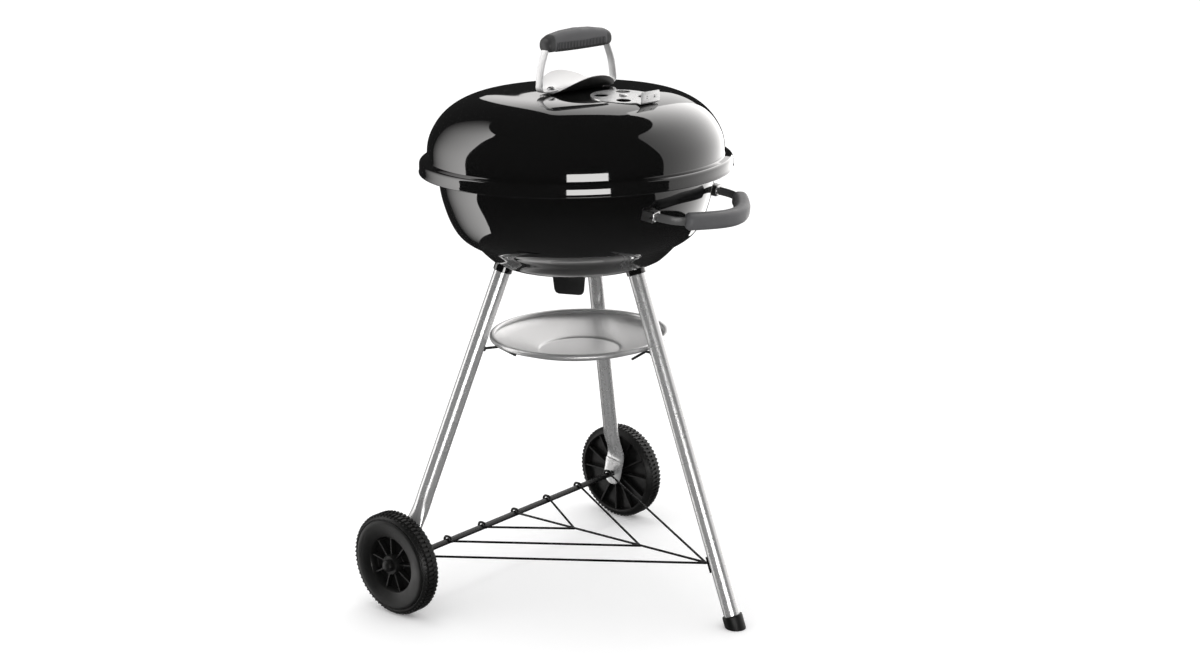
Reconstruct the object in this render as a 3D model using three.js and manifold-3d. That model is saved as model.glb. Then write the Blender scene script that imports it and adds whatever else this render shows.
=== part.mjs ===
// Kettle charcoal grill on a three-legged cart: lid, bowl, ash pan, wire rack and two wheels.
// Millimetres, +Z up, the single front leg towards -Y and the axle along X.
import * as THREE from "three";
import { mergeVertices } from "three/addons/utils/BufferGeometryUtils.js";
import { ConvexGeometry } from "three/addons/geometries/ConvexGeometry.js";
import Module from "manifold-3d";

const wasm = await Module();
wasm.setup();

// ---- driving dimensions ----
const GAP = 0.35; // between pieces that rest on each other
const RUNNING_FIT = 0.45; // radial play round anything that turns
const ROUND = 32; // sides of the large revolved shells
const WIRE_SIDES = 6;
const BAR_SIDES = 5;

const KETTLE_RADIUS = 241.5; // outside of the lid's rim band
const SHEET = 1.6; // enamelled steel of lid and bowl
const SEAM_HEIGHT = 704; // top of the rim band
const BAND_HEIGHT = 20;
const LID_DOME_HEIGHT = 102.8; // crown above the top of the rim band
const CROWN_RADIUS = 1500; // shallow sphere of the lid's top
const CROWN_REACH = 148; // radius out to which the top is spherical
const BOWL_DEPTH = 174; // top of the rim band down to the bowl's floor
const BOWL_FLOOR_RADIUS = 62;

const TUBE_DIAMETER = 25.4;
const TUBE_WALL = 1.5;
const FOOT_REACH = 304.8; // kettle axis to the front foot
const FRONT_LEG_TOP_REACH = 117.73;
const LEG_DROP = 173; // top of the rim band down to the tops of the legs
const REAR_LEG_TOP_REACH = 124.5;
const REAR_LEG_LOW_REACH = 270.8; // where the rear tubes start to flatten
const REAR_LEG_ANGLE = (2 * Math.PI) / 3;
const CRUSHED_WIDTH = 37;
const CRUSHED_THICKNESS = 3.6;
const CRUSH_HEIGHT = 160; // where the rear tubes start to flatten
const FOOT_CAP_LENGTH = 20;

const WHEEL_DIAMETER = 165;
const WHEEL_WIDTH = 33.4;
const WHEEL_INNER_FACE = 259; // distance of its inner face from the centre plane
const AXLE_DIAMETER = 9.5;
const AXLE_SETBACK = 150.6; // behind the kettle axis
const TREAD_SHOULDER = 6;
const WHEEL_RIBS = 10;

const PAN_RADIUS = 141.5;
const PAN_DROP = 285.5; // top of the rim band down to the pan's rim
const PAN_DEPTH = 27.5;
const PAN_SHEET = 1.2;
const PAN_BEAD = 9;

const RACK_WIRE = 3.6;
const RACK_PITCH = 80;
const CLIP_WIRE = 4;

const VENT_HOLE_DIAMETER = 22;
const VENT_HOLE_CIRCLE = 33;
const LID_VENT_REACH = 103; // kettle axis to the lid damper's rivet
const DAMPER_RADIUS = 49;
const DAMPER_SHEET = 1.5;
const BOLT_DIAMETER = 6;
const LID_TURN = -0.08; // how far the lid is turned on the bowl
const LID_HANDLE_SHIFT = 5; // its handle stands this far towards the vent

const GRATE_INSET = 35.5; // its edge inside the rim band
const GRATE_DROP = 44; // top of the rim band down to the ledges
const COAL_GRATE_RADIUS = 168;
const COAL_GRATE_DROP = 124.5;

// ---- derived ----
const TUBE_RADIUS = TUBE_DIAMETER / 2;
const WHEEL_RADIUS = WHEEL_DIAMETER / 2;
const AXLE_RADIUS = AXLE_DIAMETER / 2;
const WHEEL_OUTER_FACE = WHEEL_INNER_FACE + WHEEL_WIDTH;
const CROWN_TOP = SEAM_HEIGHT + LID_DOME_HEIGHT;
const LEG_TOP_HEIGHT = SEAM_HEIGHT - LEG_DROP;
const FRONT_LEG_SLOPE = (FOOT_REACH - FRONT_LEG_TOP_REACH) / LEG_TOP_HEIGHT;
const REAR_LEG_SLOPE = (REAR_LEG_LOW_REACH - REAR_LEG_TOP_REACH) / (LEG_TOP_HEIGHT - CRUSH_HEIGHT);
const PAN_RIM_HEIGHT = SEAM_HEIGHT - PAN_DROP;
const GRATE_RADIUS = KETTLE_RADIUS - GRATE_INSET;
const GRATE_HEIGHT = SEAM_HEIGHT - GRATE_DROP;
const COAL_GRATE_HEIGHT = SEAM_HEIGHT - COAL_GRATE_DROP;
const BOWL_FLOOR = SEAM_HEIGHT - BOWL_DEPTH;
const BOLT_RADIUS = BOLT_DIAMETER / 2;

// ---- materials ----
const FINISH = {
  enamel: [0x0d0d0e, 0.12, 0.0],
  darkEnamel: [0x111112, 0.35, 0.0],
  polished: [0xd9dadb, 0.16, 1.0],
  aluminium: [0xc9cacb, 0.32, 1.0],
  galvanised: [0xaeb1b3, 0.42, 1.0],
  wire: [0x18191a, 0.4, 0.6],
  grate: [0x9b9d9f, 0.35, 1.0],
  grip: [0x4b4d50, 0.55, 0.0],
  tyre: [0x161718, 0.6, 0.0],
};

// ---- solids ----
// A closed three.js geometry as a solid whose faces point outwards.
function solid(geometry) {
  const bare = geometry.clone();
  bare.deleteAttribute("normal");
  bare.deleteAttribute("uv");
  const merged = mergeVertices(bare, 1e-3);
  const index = merged.index.array;
  const faces = [];
  for (let i = 0; i < index.length; i += 3) {
    const [a, b, c] = [index[i], index[i + 1], index[i + 2]];
    if (a !== b && b !== c && c !== a) faces.push(a, b, c);
  }
  const vertProperties = merged.attributes.position.array;
  const build = (list) => {
    const triVerts = new Uint32Array(list);
    return new wasm.Manifold(new wasm.Mesh({ numProp: 3, vertProperties, triVerts }));
  };
  const made = build(faces);
  return made.volume() > 0 ? made : build(faces.reverse());
}

function join(...pieces) {
  return pieces.reduce((whole, piece) => whole.add(piece));
}

function cut(body, ...tools) {
  return tools.reduce((rest, tool) => rest.subtract(tool), body);
}

// A named mesh of a solid, with its own material.
function part(name, body, finish) {
  const mesh = body.getMesh();
  const stride = mesh.numProp;
  const positions = new Float32Array(mesh.numVert * 3);
  for (let i = 0; i < mesh.numVert; i++) {
    positions.set(mesh.vertProperties.subarray(i * stride, i * stride + 3), i * 3);
  }
  const indexed = new THREE.BufferGeometry();
  indexed.setAttribute("position", new THREE.BufferAttribute(positions, 3));
  indexed.setIndex(new THREE.BufferAttribute(new Uint32Array(mesh.triVerts), 1));
  const geometry = indexed.toNonIndexed();
  geometry.computeVertexNormals();
  const [color, roughness, metalness] = FINISH[finish];
  const material = new THREE.MeshStandardMaterial({ color, roughness, metalness });
  const made = new THREE.Mesh(geometry, material);
  made.name = name;
  return made;
}

// A closed profile of [radius, height] points revolved about Z.
function revolve(profile, sides = ROUND) {
  const points = [...profile, profile[0]].map(([r, z]) => new THREE.Vector2(Math.max(r, 0), z));
  return solid(new THREE.LatheGeometry(points, sides).rotateX(Math.PI / 2));
}

// The same profile revolved about X, its heights becoming distances along X.
function revolveAlongX(profile, sides = ROUND) {
  const points = [...profile, profile[0]].map(([r, z]) => new THREE.Vector2(Math.max(r, 0), z));
  return solid(new THREE.LatheGeometry(points, sides).rotateZ(-Math.PI / 2));
}

// A line of points moved sideways by a distance, mitred at its corners.
function offsetLine(points, distance) {
  const normals = points.slice(1).map(([x, y], i) => {
    const [dx, dy] = [x - points[i][0], y - points[i][1]];
    const length = Math.hypot(dx, dy);
    return [-dy / length, dx / length];
  });
  return points.map(([x, y], i) => {
    const a = normals[Math.max(i - 1, 0)];
    const b = normals[Math.min(i, normals.length - 1)];
    const [mx, my] = [a[0] + b[0], a[1] + b[1]];
    const scale = (2 * distance) / (mx * mx + my * my);
    return [x + mx * scale, y + my * scale];
  });
}

// Corners of a line turned into short curves.
function rounded(points, radius, steps = 4) {
  const out = [points[0]];
  for (let i = 1; i < points.length - 1; i++) {
    const [p, q, r] = [points[i - 1], points[i], points[i + 1]].map((v) => new THREE.Vector2(...v));
    const back = Math.min(radius, p.distanceTo(q) / 2);
    const ahead = Math.min(radius, r.distanceTo(q) / 2);
    const start = q.clone().lerp(p, back / p.distanceTo(q));
    const end = q.clone().lerp(r, ahead / r.distanceTo(q));
    const curve = new THREE.QuadraticBezierCurve(start, q, end);
    curve.getPoints(steps).forEach((v) => out.push([v.x, v.y]));
  }
  out.push(points[points.length - 1]);
  return out.filter((v, i) => i === 0 || Math.hypot(v[0] - out[i - 1][0], v[1] - out[i - 1][1]) > 0.01);
}

function outline(points) {
  return new THREE.Shape(points.map(([x, y]) => new THREE.Vector2(x, y)));
}

// A flat bar that follows a line: its outline in the line's plane.
function barOutline(points, thickness) {
  const left = offsetLine(points, thickness / 2);
  const right = offsetLine(points, -thickness / 2);
  return outline([...left, ...right.reverse()]);
}

// A shape extruded to both sides of its plane, with edges rounded by `edge`.
function slab(shape, width, edge = 0) {
  const options = { depth: width - 2 * edge, bevelEnabled: edge > 0, curveSegments: 10 };
  Object.assign(options, { bevelThickness: edge, bevelSize: edge, bevelOffset: -edge, bevelSegments: 2 });
  return new THREE.ExtrudeGeometry(shape, options).translate(0, 0, edge - width / 2);
}

// Turns a slab drawn in x and y into the Y and Z plane, its width along X.
function alongX(geometry) {
  const axes = [new THREE.Vector3(0, 1, 0), new THREE.Vector3(0, 0, 1), new THREE.Vector3(1, 0, 0)];
  return geometry.applyMatrix4(new THREE.Matrix4().makeBasis(...axes));
}

function disc(radius) {
  const shape = new THREE.Shape();
  shape.absarc(0, 0, radius, 0, 2 * Math.PI);
  return shape;
}

// A round bar between two points.
function rod(from, to, radius, sides = 16) {
  const [a, b] = [new THREE.Vector3(...from), new THREE.Vector3(...to)];
  const length = a.distanceTo(b);
  const geometry = new THREE.CylinderGeometry(radius, radius, length, sides);
  geometry.translate(0, length / 2, 0);
  const up = new THREE.Vector3(0, 1, 0);
  const turn = new THREE.Quaternion().setFromUnitVectors(up, b.clone().sub(a).normalize());
  return solid(geometry.applyQuaternion(turn).translate(a.x, a.y, a.z));
}

function box(size, centre) {
  return solid(new THREE.BoxGeometry(...size).translate(...centre));
}

function moved(body, x, y, z) {
  return body.translate([x, y, z]);
}

function turnedAboutZ(x, y, angle) {
  return [x * Math.cos(angle) - y * Math.sin(angle), x * Math.sin(angle) + y * Math.cos(angle)];
}

// Four points round a centre, on the diagonals.
function ventHoles(radius) {
  return [0, 1, 2, 3].map((i) => {
    const angle = Math.PI / 4 + (i * Math.PI) / 2;
    return [radius * Math.cos(angle), radius * Math.sin(angle)];
  });
}

// ---- kettle shells ----
const crownHeight = (r) => CROWN_TOP - (r * r) / (2 * CROWN_RADIUS);
const LID_LINE = [
  [KETTLE_RADIUS + 1, SEAM_HEIGHT - BAND_HEIGHT],
  [KETTLE_RADIUS, SEAM_HEIGHT - BAND_HEIGHT + 4],
  [KETTLE_RADIUS - 1, SEAM_HEIGHT],
  [KETTLE_RADIUS - 12.5, SEAM_HEIGHT + 2],
  [KETTLE_RADIUS - 13.2, SEAM_HEIGHT + 18],
  [KETTLE_RADIUS - 16.5, SEAM_HEIGHT + 33],
  [KETTLE_RADIUS - 23.6, SEAM_HEIGHT + 48],
  [KETTLE_RADIUS - 34.5, SEAM_HEIGHT + 63.2],
  [KETTLE_RADIUS - 50.5, SEAM_HEIGHT + 77.3],
  [KETTLE_RADIUS - 71.5, SEAM_HEIGHT + 88.6],
  ...[CROWN_REACH, 90, 45, 0].map((r) => [r, crownHeight(r)]),
];
const RIM_REACH = KETTLE_RADIUS - 4; // outside of the bowl's rolled rim
const RIM_HEIGHT = 4.6;
const BOWL_LINE = [
  [RIM_REACH, SEAM_HEIGHT - 6.4],
  [KETTLE_RADIUS - 23.5, SEAM_HEIGHT - 8],
  [KETTLE_RADIUS - 26.9, SEAM_HEIGHT - 16],
  [KETTLE_RADIUS - 30.5, SEAM_HEIGHT - 44],
  [KETTLE_RADIUS - 35.5, SEAM_HEIGHT - 69],
  [KETTLE_RADIUS - 46.5, SEAM_HEIGHT - 100],
  [179, SEAM_HEIGHT - 122.5],
  [169, SEAM_HEIGHT - 129.5],
  [160, SEAM_HEIGHT - 134],
  [134, SEAM_HEIGHT - 159],
  [110, SEAM_HEIGHT - 168],
  [BOWL_FLOOR_RADIUS, BOWL_FLOOR],
  [0, BOWL_FLOOR],
];

// Everything inside a line of the bowl, up to well above the rim.
function bowlFill(distance) {
  const line = offsetLine(BOWL_LINE, distance);
  line[line.length - 1][0] = 0;
  return revolve([...line, [0, SEAM_HEIGHT + 60], [line[0][0], SEAM_HEIGHT + 60]]);
}

// Cuts one vent hole through the lid and its damper.
function lidVentTool(x, y) {
  const ends = [-27, 13].map((t) => [x, y - LID_VENT_REACH, CROWN_TOP + t]);
  return rod(...ends, VENT_HOLE_DIAMETER / 2);
}

function makeLid() {
  const inner = offsetLine(LID_LINE, SHEET);
  inner[inner.length - 1][0] = 0;
  const shell = revolve([...LID_LINE, ...inner.reverse()]);
  const holes = ventHoles(VENT_HOLE_CIRCLE).map(([x, y]) => {
    return lidVentTool(x, y);
  });
  const rivetHole = rod(along(-12), along(12), BOLT_RADIUS + GAP);
  const boltHoles = [-1, 1].map((side) => onLid(handleBoltHole(side)));
  return cut(shell, ...holes, rivetHole, ...boltHoles);
}

function makeBowl() {
  const inner = offsetLine(BOWL_LINE, -SHEET);
  inner[inner.length - 1][0] = 0;
  inner[0][0] = RIM_REACH - 6;
  const top = SEAM_HEIGHT - 6.4 + RIM_HEIGHT;
  const rim = [
    [RIM_REACH - 6, top],
    [RIM_REACH, top],
  ];
  const shell = revolve([...BOWL_LINE, ...inner.reverse(), ...rim]);
  const holes = ventHoles(VENT_HOLE_CIRCLE).map(([x, y]) => {
    return rod([x, y, BOWL_FLOOR - 5], [x, y, BOWL_FLOOR + 5], VENT_HOLE_DIAMETER / 2);
  });
  const pivot = rod([0, 0, BOWL_FLOOR - 5], [0, 0, BOWL_FLOOR + 5], BOLT_RADIUS + GAP);
  return cut(shell, ...holes, pivot);
}

// ---- lid fittings ----
const LID_VENT_TILT = Math.asin(LID_VENT_REACH / CROWN_RADIUS);
// A point on the lid damper's axis, at a height above the lid's skin.
function along(height) {
  const [s, c] = [Math.sin(LID_VENT_TILT), Math.cos(LID_VENT_TILT)];
  return [0, -LID_VENT_REACH - height * s, crownHeight(LID_VENT_REACH) + height * c];
}

const DAMPER_TAB_WIDTH = 40;
const DAMPER_TAB_HEIGHT = 18;
const DAMPER_TAB_REACH = 57; // rivet to the tab's upright face

function makeLidDamper() {
  const radii = [0, 45, 90, CROWN_REACH, 175];
  const lower = radii.map((r) => [r, crownHeight(r) + GAP]);
  const upper = radii.map((r) => [r, crownHeight(r) + GAP + DAMPER_SHEET]).reverse();
  const skin = revolve([...lower, ...upper]);
  const edge = rod(along(-12), along(12), DAMPER_RADIUS, 32);
  const front = -LID_VENT_REACH - DAMPER_TAB_REACH;
  const neckDepth = DAMPER_TAB_REACH - DAMPER_RADIUS / 2;
  const neck = box([DAMPER_TAB_WIDTH, neckDepth, 60], [0, front + neckDepth / 2, CROWN_TOP]);
  const tabFoot = crownHeight(LID_VENT_REACH + DAMPER_TAB_REACH) + GAP + 0.3;
  const tabCentre = tabFoot + DAMPER_TAB_HEIGHT / 2;
  const tab = box(
    [DAMPER_TAB_WIDTH, DAMPER_SHEET, DAMPER_TAB_HEIGHT],
    [0, front + DAMPER_SHEET / 2, tabCentre],
  );
  const holes = ventHoles(VENT_HOLE_CIRCLE).map(([x, y]) => {
    return lidVentTool(x, y);
  });
  const rivetHole = rod(along(-12), along(12), BOLT_RADIUS + RUNNING_FIT);
  return cut(join(skin.intersect(join(edge, neck)), tab), ...holes, rivetHole);
}

const RIVET_HEAD = 6.5;

function makeLidDamperRivet() {
  const top = GAP + DAMPER_SHEET + GAP;
  return join(
    rod(along(-SHEET - GAP - 1.5), along(top + 1.5), BOLT_RADIUS),
    rod(along(top), along(top + 2.4), RIVET_HEAD),
    rod(along(-SHEET - GAP - 2), along(-SHEET - GAP), RIVET_HEAD),
  );
}

const SHIELD_SHEET = 1;
const SHIELD_REACH = 66;
const SHIELD_HALF_WIDTH = 45;
const SHIELD_BASE = CROWN_TOP + GAP;
const STRAP_THICKNESS = 3;
const STRAP_WIDTH = 14;
const STRAP_BASE = SHIELD_BASE + SHIELD_SHEET + GAP;
const HANDLE_BOLT_REACH = 54;
const STRAP_SPAN = 80; // kettle axis to the strap's upright at the lid
const GRIP_HALF_LENGTH = 66;
const GRIP_BASE = CROWN_TOP + 61.2;
const GRIP_WIDTH = 27;

function handleBoltHole(side) {
  const x = side * HANDLE_BOLT_REACH;
  return rod([x, 0, CROWN_TOP - 20], [x, 0, STRAP_BASE + 20], BOLT_RADIUS + GAP);
}

// Moves a handle piece, drawn over the lid's middle, to its place.
function onLid(body) {
  return moved(body, 0, -LID_HANDLE_SHIFT, 0);
}

function makeHeatShield() {
  const line = rounded(
    [
      [-SHIELD_HALF_WIDTH, 23],
      [-30, 8],
      [-14, 0],
      [14, 0],
      [30, 8],
      [SHIELD_HALF_WIDTH, 23],
    ],
    9,
  ).map(([y, z]) => [y, z + SHIELD_BASE + SHIELD_SHEET / 2]);
  const trough = solid(alongX(slab(barOutline(line, SHIELD_SHEET), 2.2 * SHIELD_REACH)));
  const rim = new THREE.CylinderGeometry(SHIELD_REACH, SHIELD_REACH, 120, 32);
  rim.rotateX(Math.PI / 2).scale(1, (SHIELD_HALF_WIDTH + 1) / SHIELD_REACH, 1);
  rim.translate(0, 0, SHIELD_BASE);
  return onLid(cut(trough.intersect(solid(rim)), handleBoltHole(-1), handleBoltHole(1)));
}

// Centre line of half the lid handle's strap, from its foot up into the grip.
const STRAP_HALF = [
  [HANDLE_BOLT_REACH - 10, STRAP_BASE + STRAP_THICKNESS / 2],
  [STRAP_SPAN, STRAP_BASE + STRAP_THICKNESS / 2],
  [75.5, GRIP_BASE - 26],
  [61, GRIP_BASE + 10],
  [0, GRIP_BASE + 16.5],
];

function strapSolid(thickness, width) {
  const left = STRAP_HALF.map(([x, z]) => [-x, z]);
  const line = rounded([...left, ...STRAP_HALF.slice(0, -1).reverse()], 9, 3);
  return solid(slab(barOutline(line, thickness), width).rotateX(Math.PI / 2));
}

function makeHandleStrap() {
  const strap = strapSolid(STRAP_THICKNESS, STRAP_WIDTH);
  return onLid(cut(strap, handleBoltHole(-1), handleBoltHole(1)));
}

function makeLidGrip() {
  const g = GRIP_HALF_LENGTH;
  const below = [
    [-g, GRIP_BASE],
    [-g + 17, GRIP_BASE],
    [-g + 26, GRIP_BASE + 5],
    [-22, GRIP_BASE + 5.5],
    [0, GRIP_BASE + 4],
    [22, GRIP_BASE + 5.5],
    [g - 26, GRIP_BASE + 5],
    [g - 17, GRIP_BASE],
    [g, GRIP_BASE],
  ];
  const above = [
    [g + 0.5, GRIP_BASE + 20],
    [g - 12, GRIP_BASE + 26],
    [30, GRIP_BASE + 29.5],
    [0, GRIP_BASE + 31],
    [-30, GRIP_BASE + 29.5],
    [-g + 12, GRIP_BASE + 26],
    [-g - 0.5, GRIP_BASE + 20],
  ];
  const body = slab(outline([...below, ...above]), GRIP_WIDTH, 5).rotateX(Math.PI / 2);
  return onLid(cut(solid(body), strapSolid(STRAP_THICKNESS + 2 * GAP, STRAP_WIDTH + 2 * GAP)));
}

// A round-headed bolt through lid, shield and strap.
function makeHandleBolt(side) {
  const x = side * HANDLE_BOLT_REACH;
  const seat = STRAP_BASE + STRAP_THICKNESS + GAP;
  const tip = CROWN_TOP - 12;
  const head = revolve(
    [
      [0, seat],
      [6.5, seat],
      [6.5, seat + 2],
      [4.5, seat + 4.2],
      [0, seat + 4.6],
    ],
    20,
  );
  return onLid(join(moved(head, x, 0, 0), rod([x, 0, tip], [x, 0, seat + 1], BOLT_RADIUS, 16)));
}

function makeHandleNut(side) {
  const x = side * HANDLE_BOLT_REACH;
  const top = crownHeight(HANDLE_BOLT_REACH + LID_HANDLE_SHIFT + 4) - SHEET - GAP;
  const hex = rod([x, 0, top - 5], [x, 0, top], 5.8, 6);
  return onLid(cut(hex, rod([x, 0, top - 8], [x, 0, top + 3], BOLT_RADIUS + GAP)));
}

// ---- grates ----
function makeGrate(radius, rest, frameWire, barWire, bars, crossBars) {
  const ring = radius - frameWire / 2;
  const height = rest + GAP + frameWire / 2;
  const turns = [...Array(6).keys()].map((i) => (i * Math.PI) / 3);
  const rim = revolve(
    turns.map((a) => [
      ring + (frameWire / 2) * Math.cos(a),
      height + (frameWire / 2) * Math.sin(a),
    ]),
    26,
  );
  const bar = (offset, z, alongX) => {
    const half = Math.sqrt(ring ** 2 - offset ** 2);
    const ends = [-half, half].map((t) => (alongX ? [t, offset, z] : [offset, t, z]));
    return rod(...ends, barWire / 2, BAR_SIDES);
  };
  const spread = (count, i) => ((i + 1) / (count + 1)) * 2 * ring - ring;
  const rods = [...Array(bars).keys()].map((i) => bar(spread(bars, i), height, false));
  const ties = crossBars.map((offset) => bar(offset, height - barWire * 0.7, true));
  return join(rim, ...rods, ...ties);
}

const LEDGES = 3;
const LEDGE_WIDTH = 18;
const LEDGE_SHEET = 2.5;

function makeLedge(index) {
  const shelf = box([LEDGE_WIDTH, 20, LEDGE_SHEET], [0, -GRATE_RADIUS, GRATE_HEIGHT - LEDGE_SHEET / 2]);
  const wallPlate = box([LEDGE_WIDTH, 12, 24], [0, -GRATE_RADIUS - 3.5, GRATE_HEIGHT - 12]);
  const angle = 60 + (360 / LEDGES) * index;
  return join(shelf, wallPlate).rotate([0, 0, angle]).intersect(bowlFill(-SHEET - GAP));
}

// ---- bowl vent ----
const BOWL_DAMPER_RADIUS = 58;
const VENT_TAB_REACH = 42;
const VENT_TAB_DROP = 37;
const VENT_TAB_ANGLE = -1.22; // from the front, towards the left wheel

function makeBowlDamper() {
  const top = BOWL_FLOOR - GAP;
  const plate = revolve(
    [
      [0, top],
      [BOWL_DAMPER_RADIUS, top],
      [BOWL_DAMPER_RADIUS, top - DAMPER_SHEET],
      [0, top - DAMPER_SHEET],
    ],
    32,
  );
  const tabShape = outline(
    rounded(
      [
        [0, 0],
        [28, 0],
        [24, -VENT_TAB_DROP],
        [-24, -VENT_TAB_DROP],
        [-28, 0],
        [0, 0],
      ],
      9,
    ).slice(0, -1),
  );
  const tabBody = slab(tabShape, DAMPER_SHEET).rotateX(Math.PI / 2);
  tabBody.translate(0, -VENT_TAB_REACH, top - 0.4).rotateZ(VENT_TAB_ANGLE);
  const holes = ventHoles(VENT_HOLE_CIRCLE).map(([x, y]) => {
    return rod([x, y, BOWL_FLOOR - 8], [x, y, BOWL_FLOOR + 8], VENT_HOLE_DIAMETER / 2);
  });
  const pivot = rod([0, 0, BOWL_FLOOR - 8], [0, 0, BOWL_FLOOR + 8], BOLT_RADIUS + RUNNING_FIT);
  return cut(join(cut(plate, ...holes), solid(tabBody)), pivot);
}

function makeBowlDamperRivet() {
  const low = BOWL_FLOOR - GAP - DAMPER_SHEET - GAP;
  const high = BOWL_FLOOR + SHEET + GAP;
  return join(
    rod([0, 0, low - 1], [0, 0, high + 1], BOLT_RADIUS),
    rod([0, 0, low - 2.4], [0, 0, low], RIVET_HEAD),
    rod([0, 0, high], [0, 0, high + 2], RIVET_HEAD),
  );
}

// ---- bowl handle ----
const HANDLE_ANGLE = 0.2; // from the front, towards the right wheel
const HANDLE_TILT = -0.15; // the grip hangs a little below the brackets
const BRACKET_SPREAD = 106;
const BRACKET_REACH = KETTLE_RADIUS - 60.5;
const BRACKET_HEIGHT = SEAM_HEIGHT - 58.5;
const BOW_THICKNESS = 3;
const BOW_WIDTH = 12.5;

// Turns a solid drawn flat, x across the handle and y outwards from the brackets, into place.
function onBowl(geometry) {
  geometry.rotateX(HANDLE_TILT).translate(0, BRACKET_REACH, BRACKET_HEIGHT);
  return solid(geometry.rotateZ(Math.PI + HANDLE_ANGLE));
}

// Half the bow's centre line, outwards from the bracket and round to its middle.
const BOW_HALF = [
  [BRACKET_SPREAD, 15],
  [104, 34],
  [93, 51],
  [73, 65],
  [48, 79],
  [23, 89],
  [0, 92],
];

function bowLine(from) {
  const half = BOW_HALF.slice(from);
  return rounded([...half, ...half.slice(0, -1).reverse().map(([x, y]) => [-x, y])], 9, 2);
}

function makeBow() {
  return onBowl(slab(barOutline(bowLine(0), BOW_THICKNESS), BOW_WIDTH));
}

function makeBowlGrip() {
  const grip = onBowl(slab(barOutline(bowLine(2), 24), 26, 7));
  const clear = barOutline(bowLine(0), BOW_THICKNESS + 2 * GAP);
  return cut(grip, onBowl(slab(clear, BOW_WIDTH + 2 * GAP)));
}

function makeBracket(side) {
  const block = new THREE.BoxGeometry(22, 34, 20).translate(side * BRACKET_SPREAD, 5, 0);
  const clear = barOutline(bowLine(0), BOW_THICKNESS + 2 * GAP);
  const slot = onBowl(slab(clear, BOW_WIDTH + 2 * GAP));
  return cut(onBowl(block), bowlFill(GAP), slot);
}

// ---- legs ----
const FRONT_FOOT = [0, -FOOT_REACH, 0];
const FRONT_TOP = [0, -(FOOT_REACH - FRONT_LEG_SLOPE * LEG_TOP_HEIGHT), LEG_TOP_HEIGHT];
const CRUSHED_PLANE = WHEEL_INNER_FACE - 3.2 - CRUSHED_THICKNESS / 2;

function frontLegReach(height) {
  return FOOT_REACH - FRONT_LEG_SLOPE * height;
}

function rearLegReach(height) {
  return REAR_LEG_TOP_REACH + REAR_LEG_SLOPE * (LEG_TOP_HEIGHT - height);
}

// The middle of a rear leg's tube at a height.
function rearLegAt(side, height) {
  return [...turnedAboutZ(0, -rearLegReach(height), side * REAR_LEG_ANGLE), height];
}

// The point a fraction of the way between two points, or beyond them.
function between(a, b, t) {
  return a.map((v, i) => v + (b[i] - v) * t);
}

function distance(a, b) {
  return Math.hypot(...a.map((v, i) => v - b[i]));
}

// A point a distance along the line from a to b.
function pointAt(a, b, length) {
  return between(a, b, length / distance(a, b));
}

function tube(from, to) {
  const bore = rod(pointAt(from, to, -5), pointAt(to, from, -5), TUBE_RADIUS - TUBE_WALL);
  return cut(rod(from, to, TUBE_RADIUS), bore);
}

// The hole in a leg's inner side that takes its pan clip.
function clipHole(angle, legReach) {
  const reaches = [legReach, legReach - TUBE_RADIUS - 6];
  const ends = reaches.map((n) => [...turnedAboutZ(0, -n, angle), CLIP_HEIGHT]);
  return rod(...ends, CLIP_WIRE / 2 + GAP + 0.1, 10);
}

const CAP_FLOOR = 6.6;

function makeFrontLeg() {
  const low = pointAt(FRONT_FOOT, FRONT_TOP, CAP_FLOOR + GAP);
  const screwHole = rackScrew(RACK_SCREW_RADIUS + GAP);
  return cut(tube(low, FRONT_TOP), clipHole(0, frontLegReach(CLIP_HEIGHT)), screwHole);
}

function makeFootCap() {
  const top = pointAt(FRONT_FOOT, FRONT_TOP, FOOT_CAP_LENGTH);
  const body = rod(pointAt(FRONT_FOOT, FRONT_TOP, -12), top, TUBE_RADIUS + 3.1, 28);
  const bore = rod(
    pointAt(FRONT_FOOT, FRONT_TOP, CAP_FLOOR),
    pointAt(FRONT_FOOT, FRONT_TOP, 60),
    TUBE_RADIUS + GAP,
  );
  return cut(body, bore, box([80, 80, 40], [0, -FOOT_REACH, -20]));
}

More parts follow.
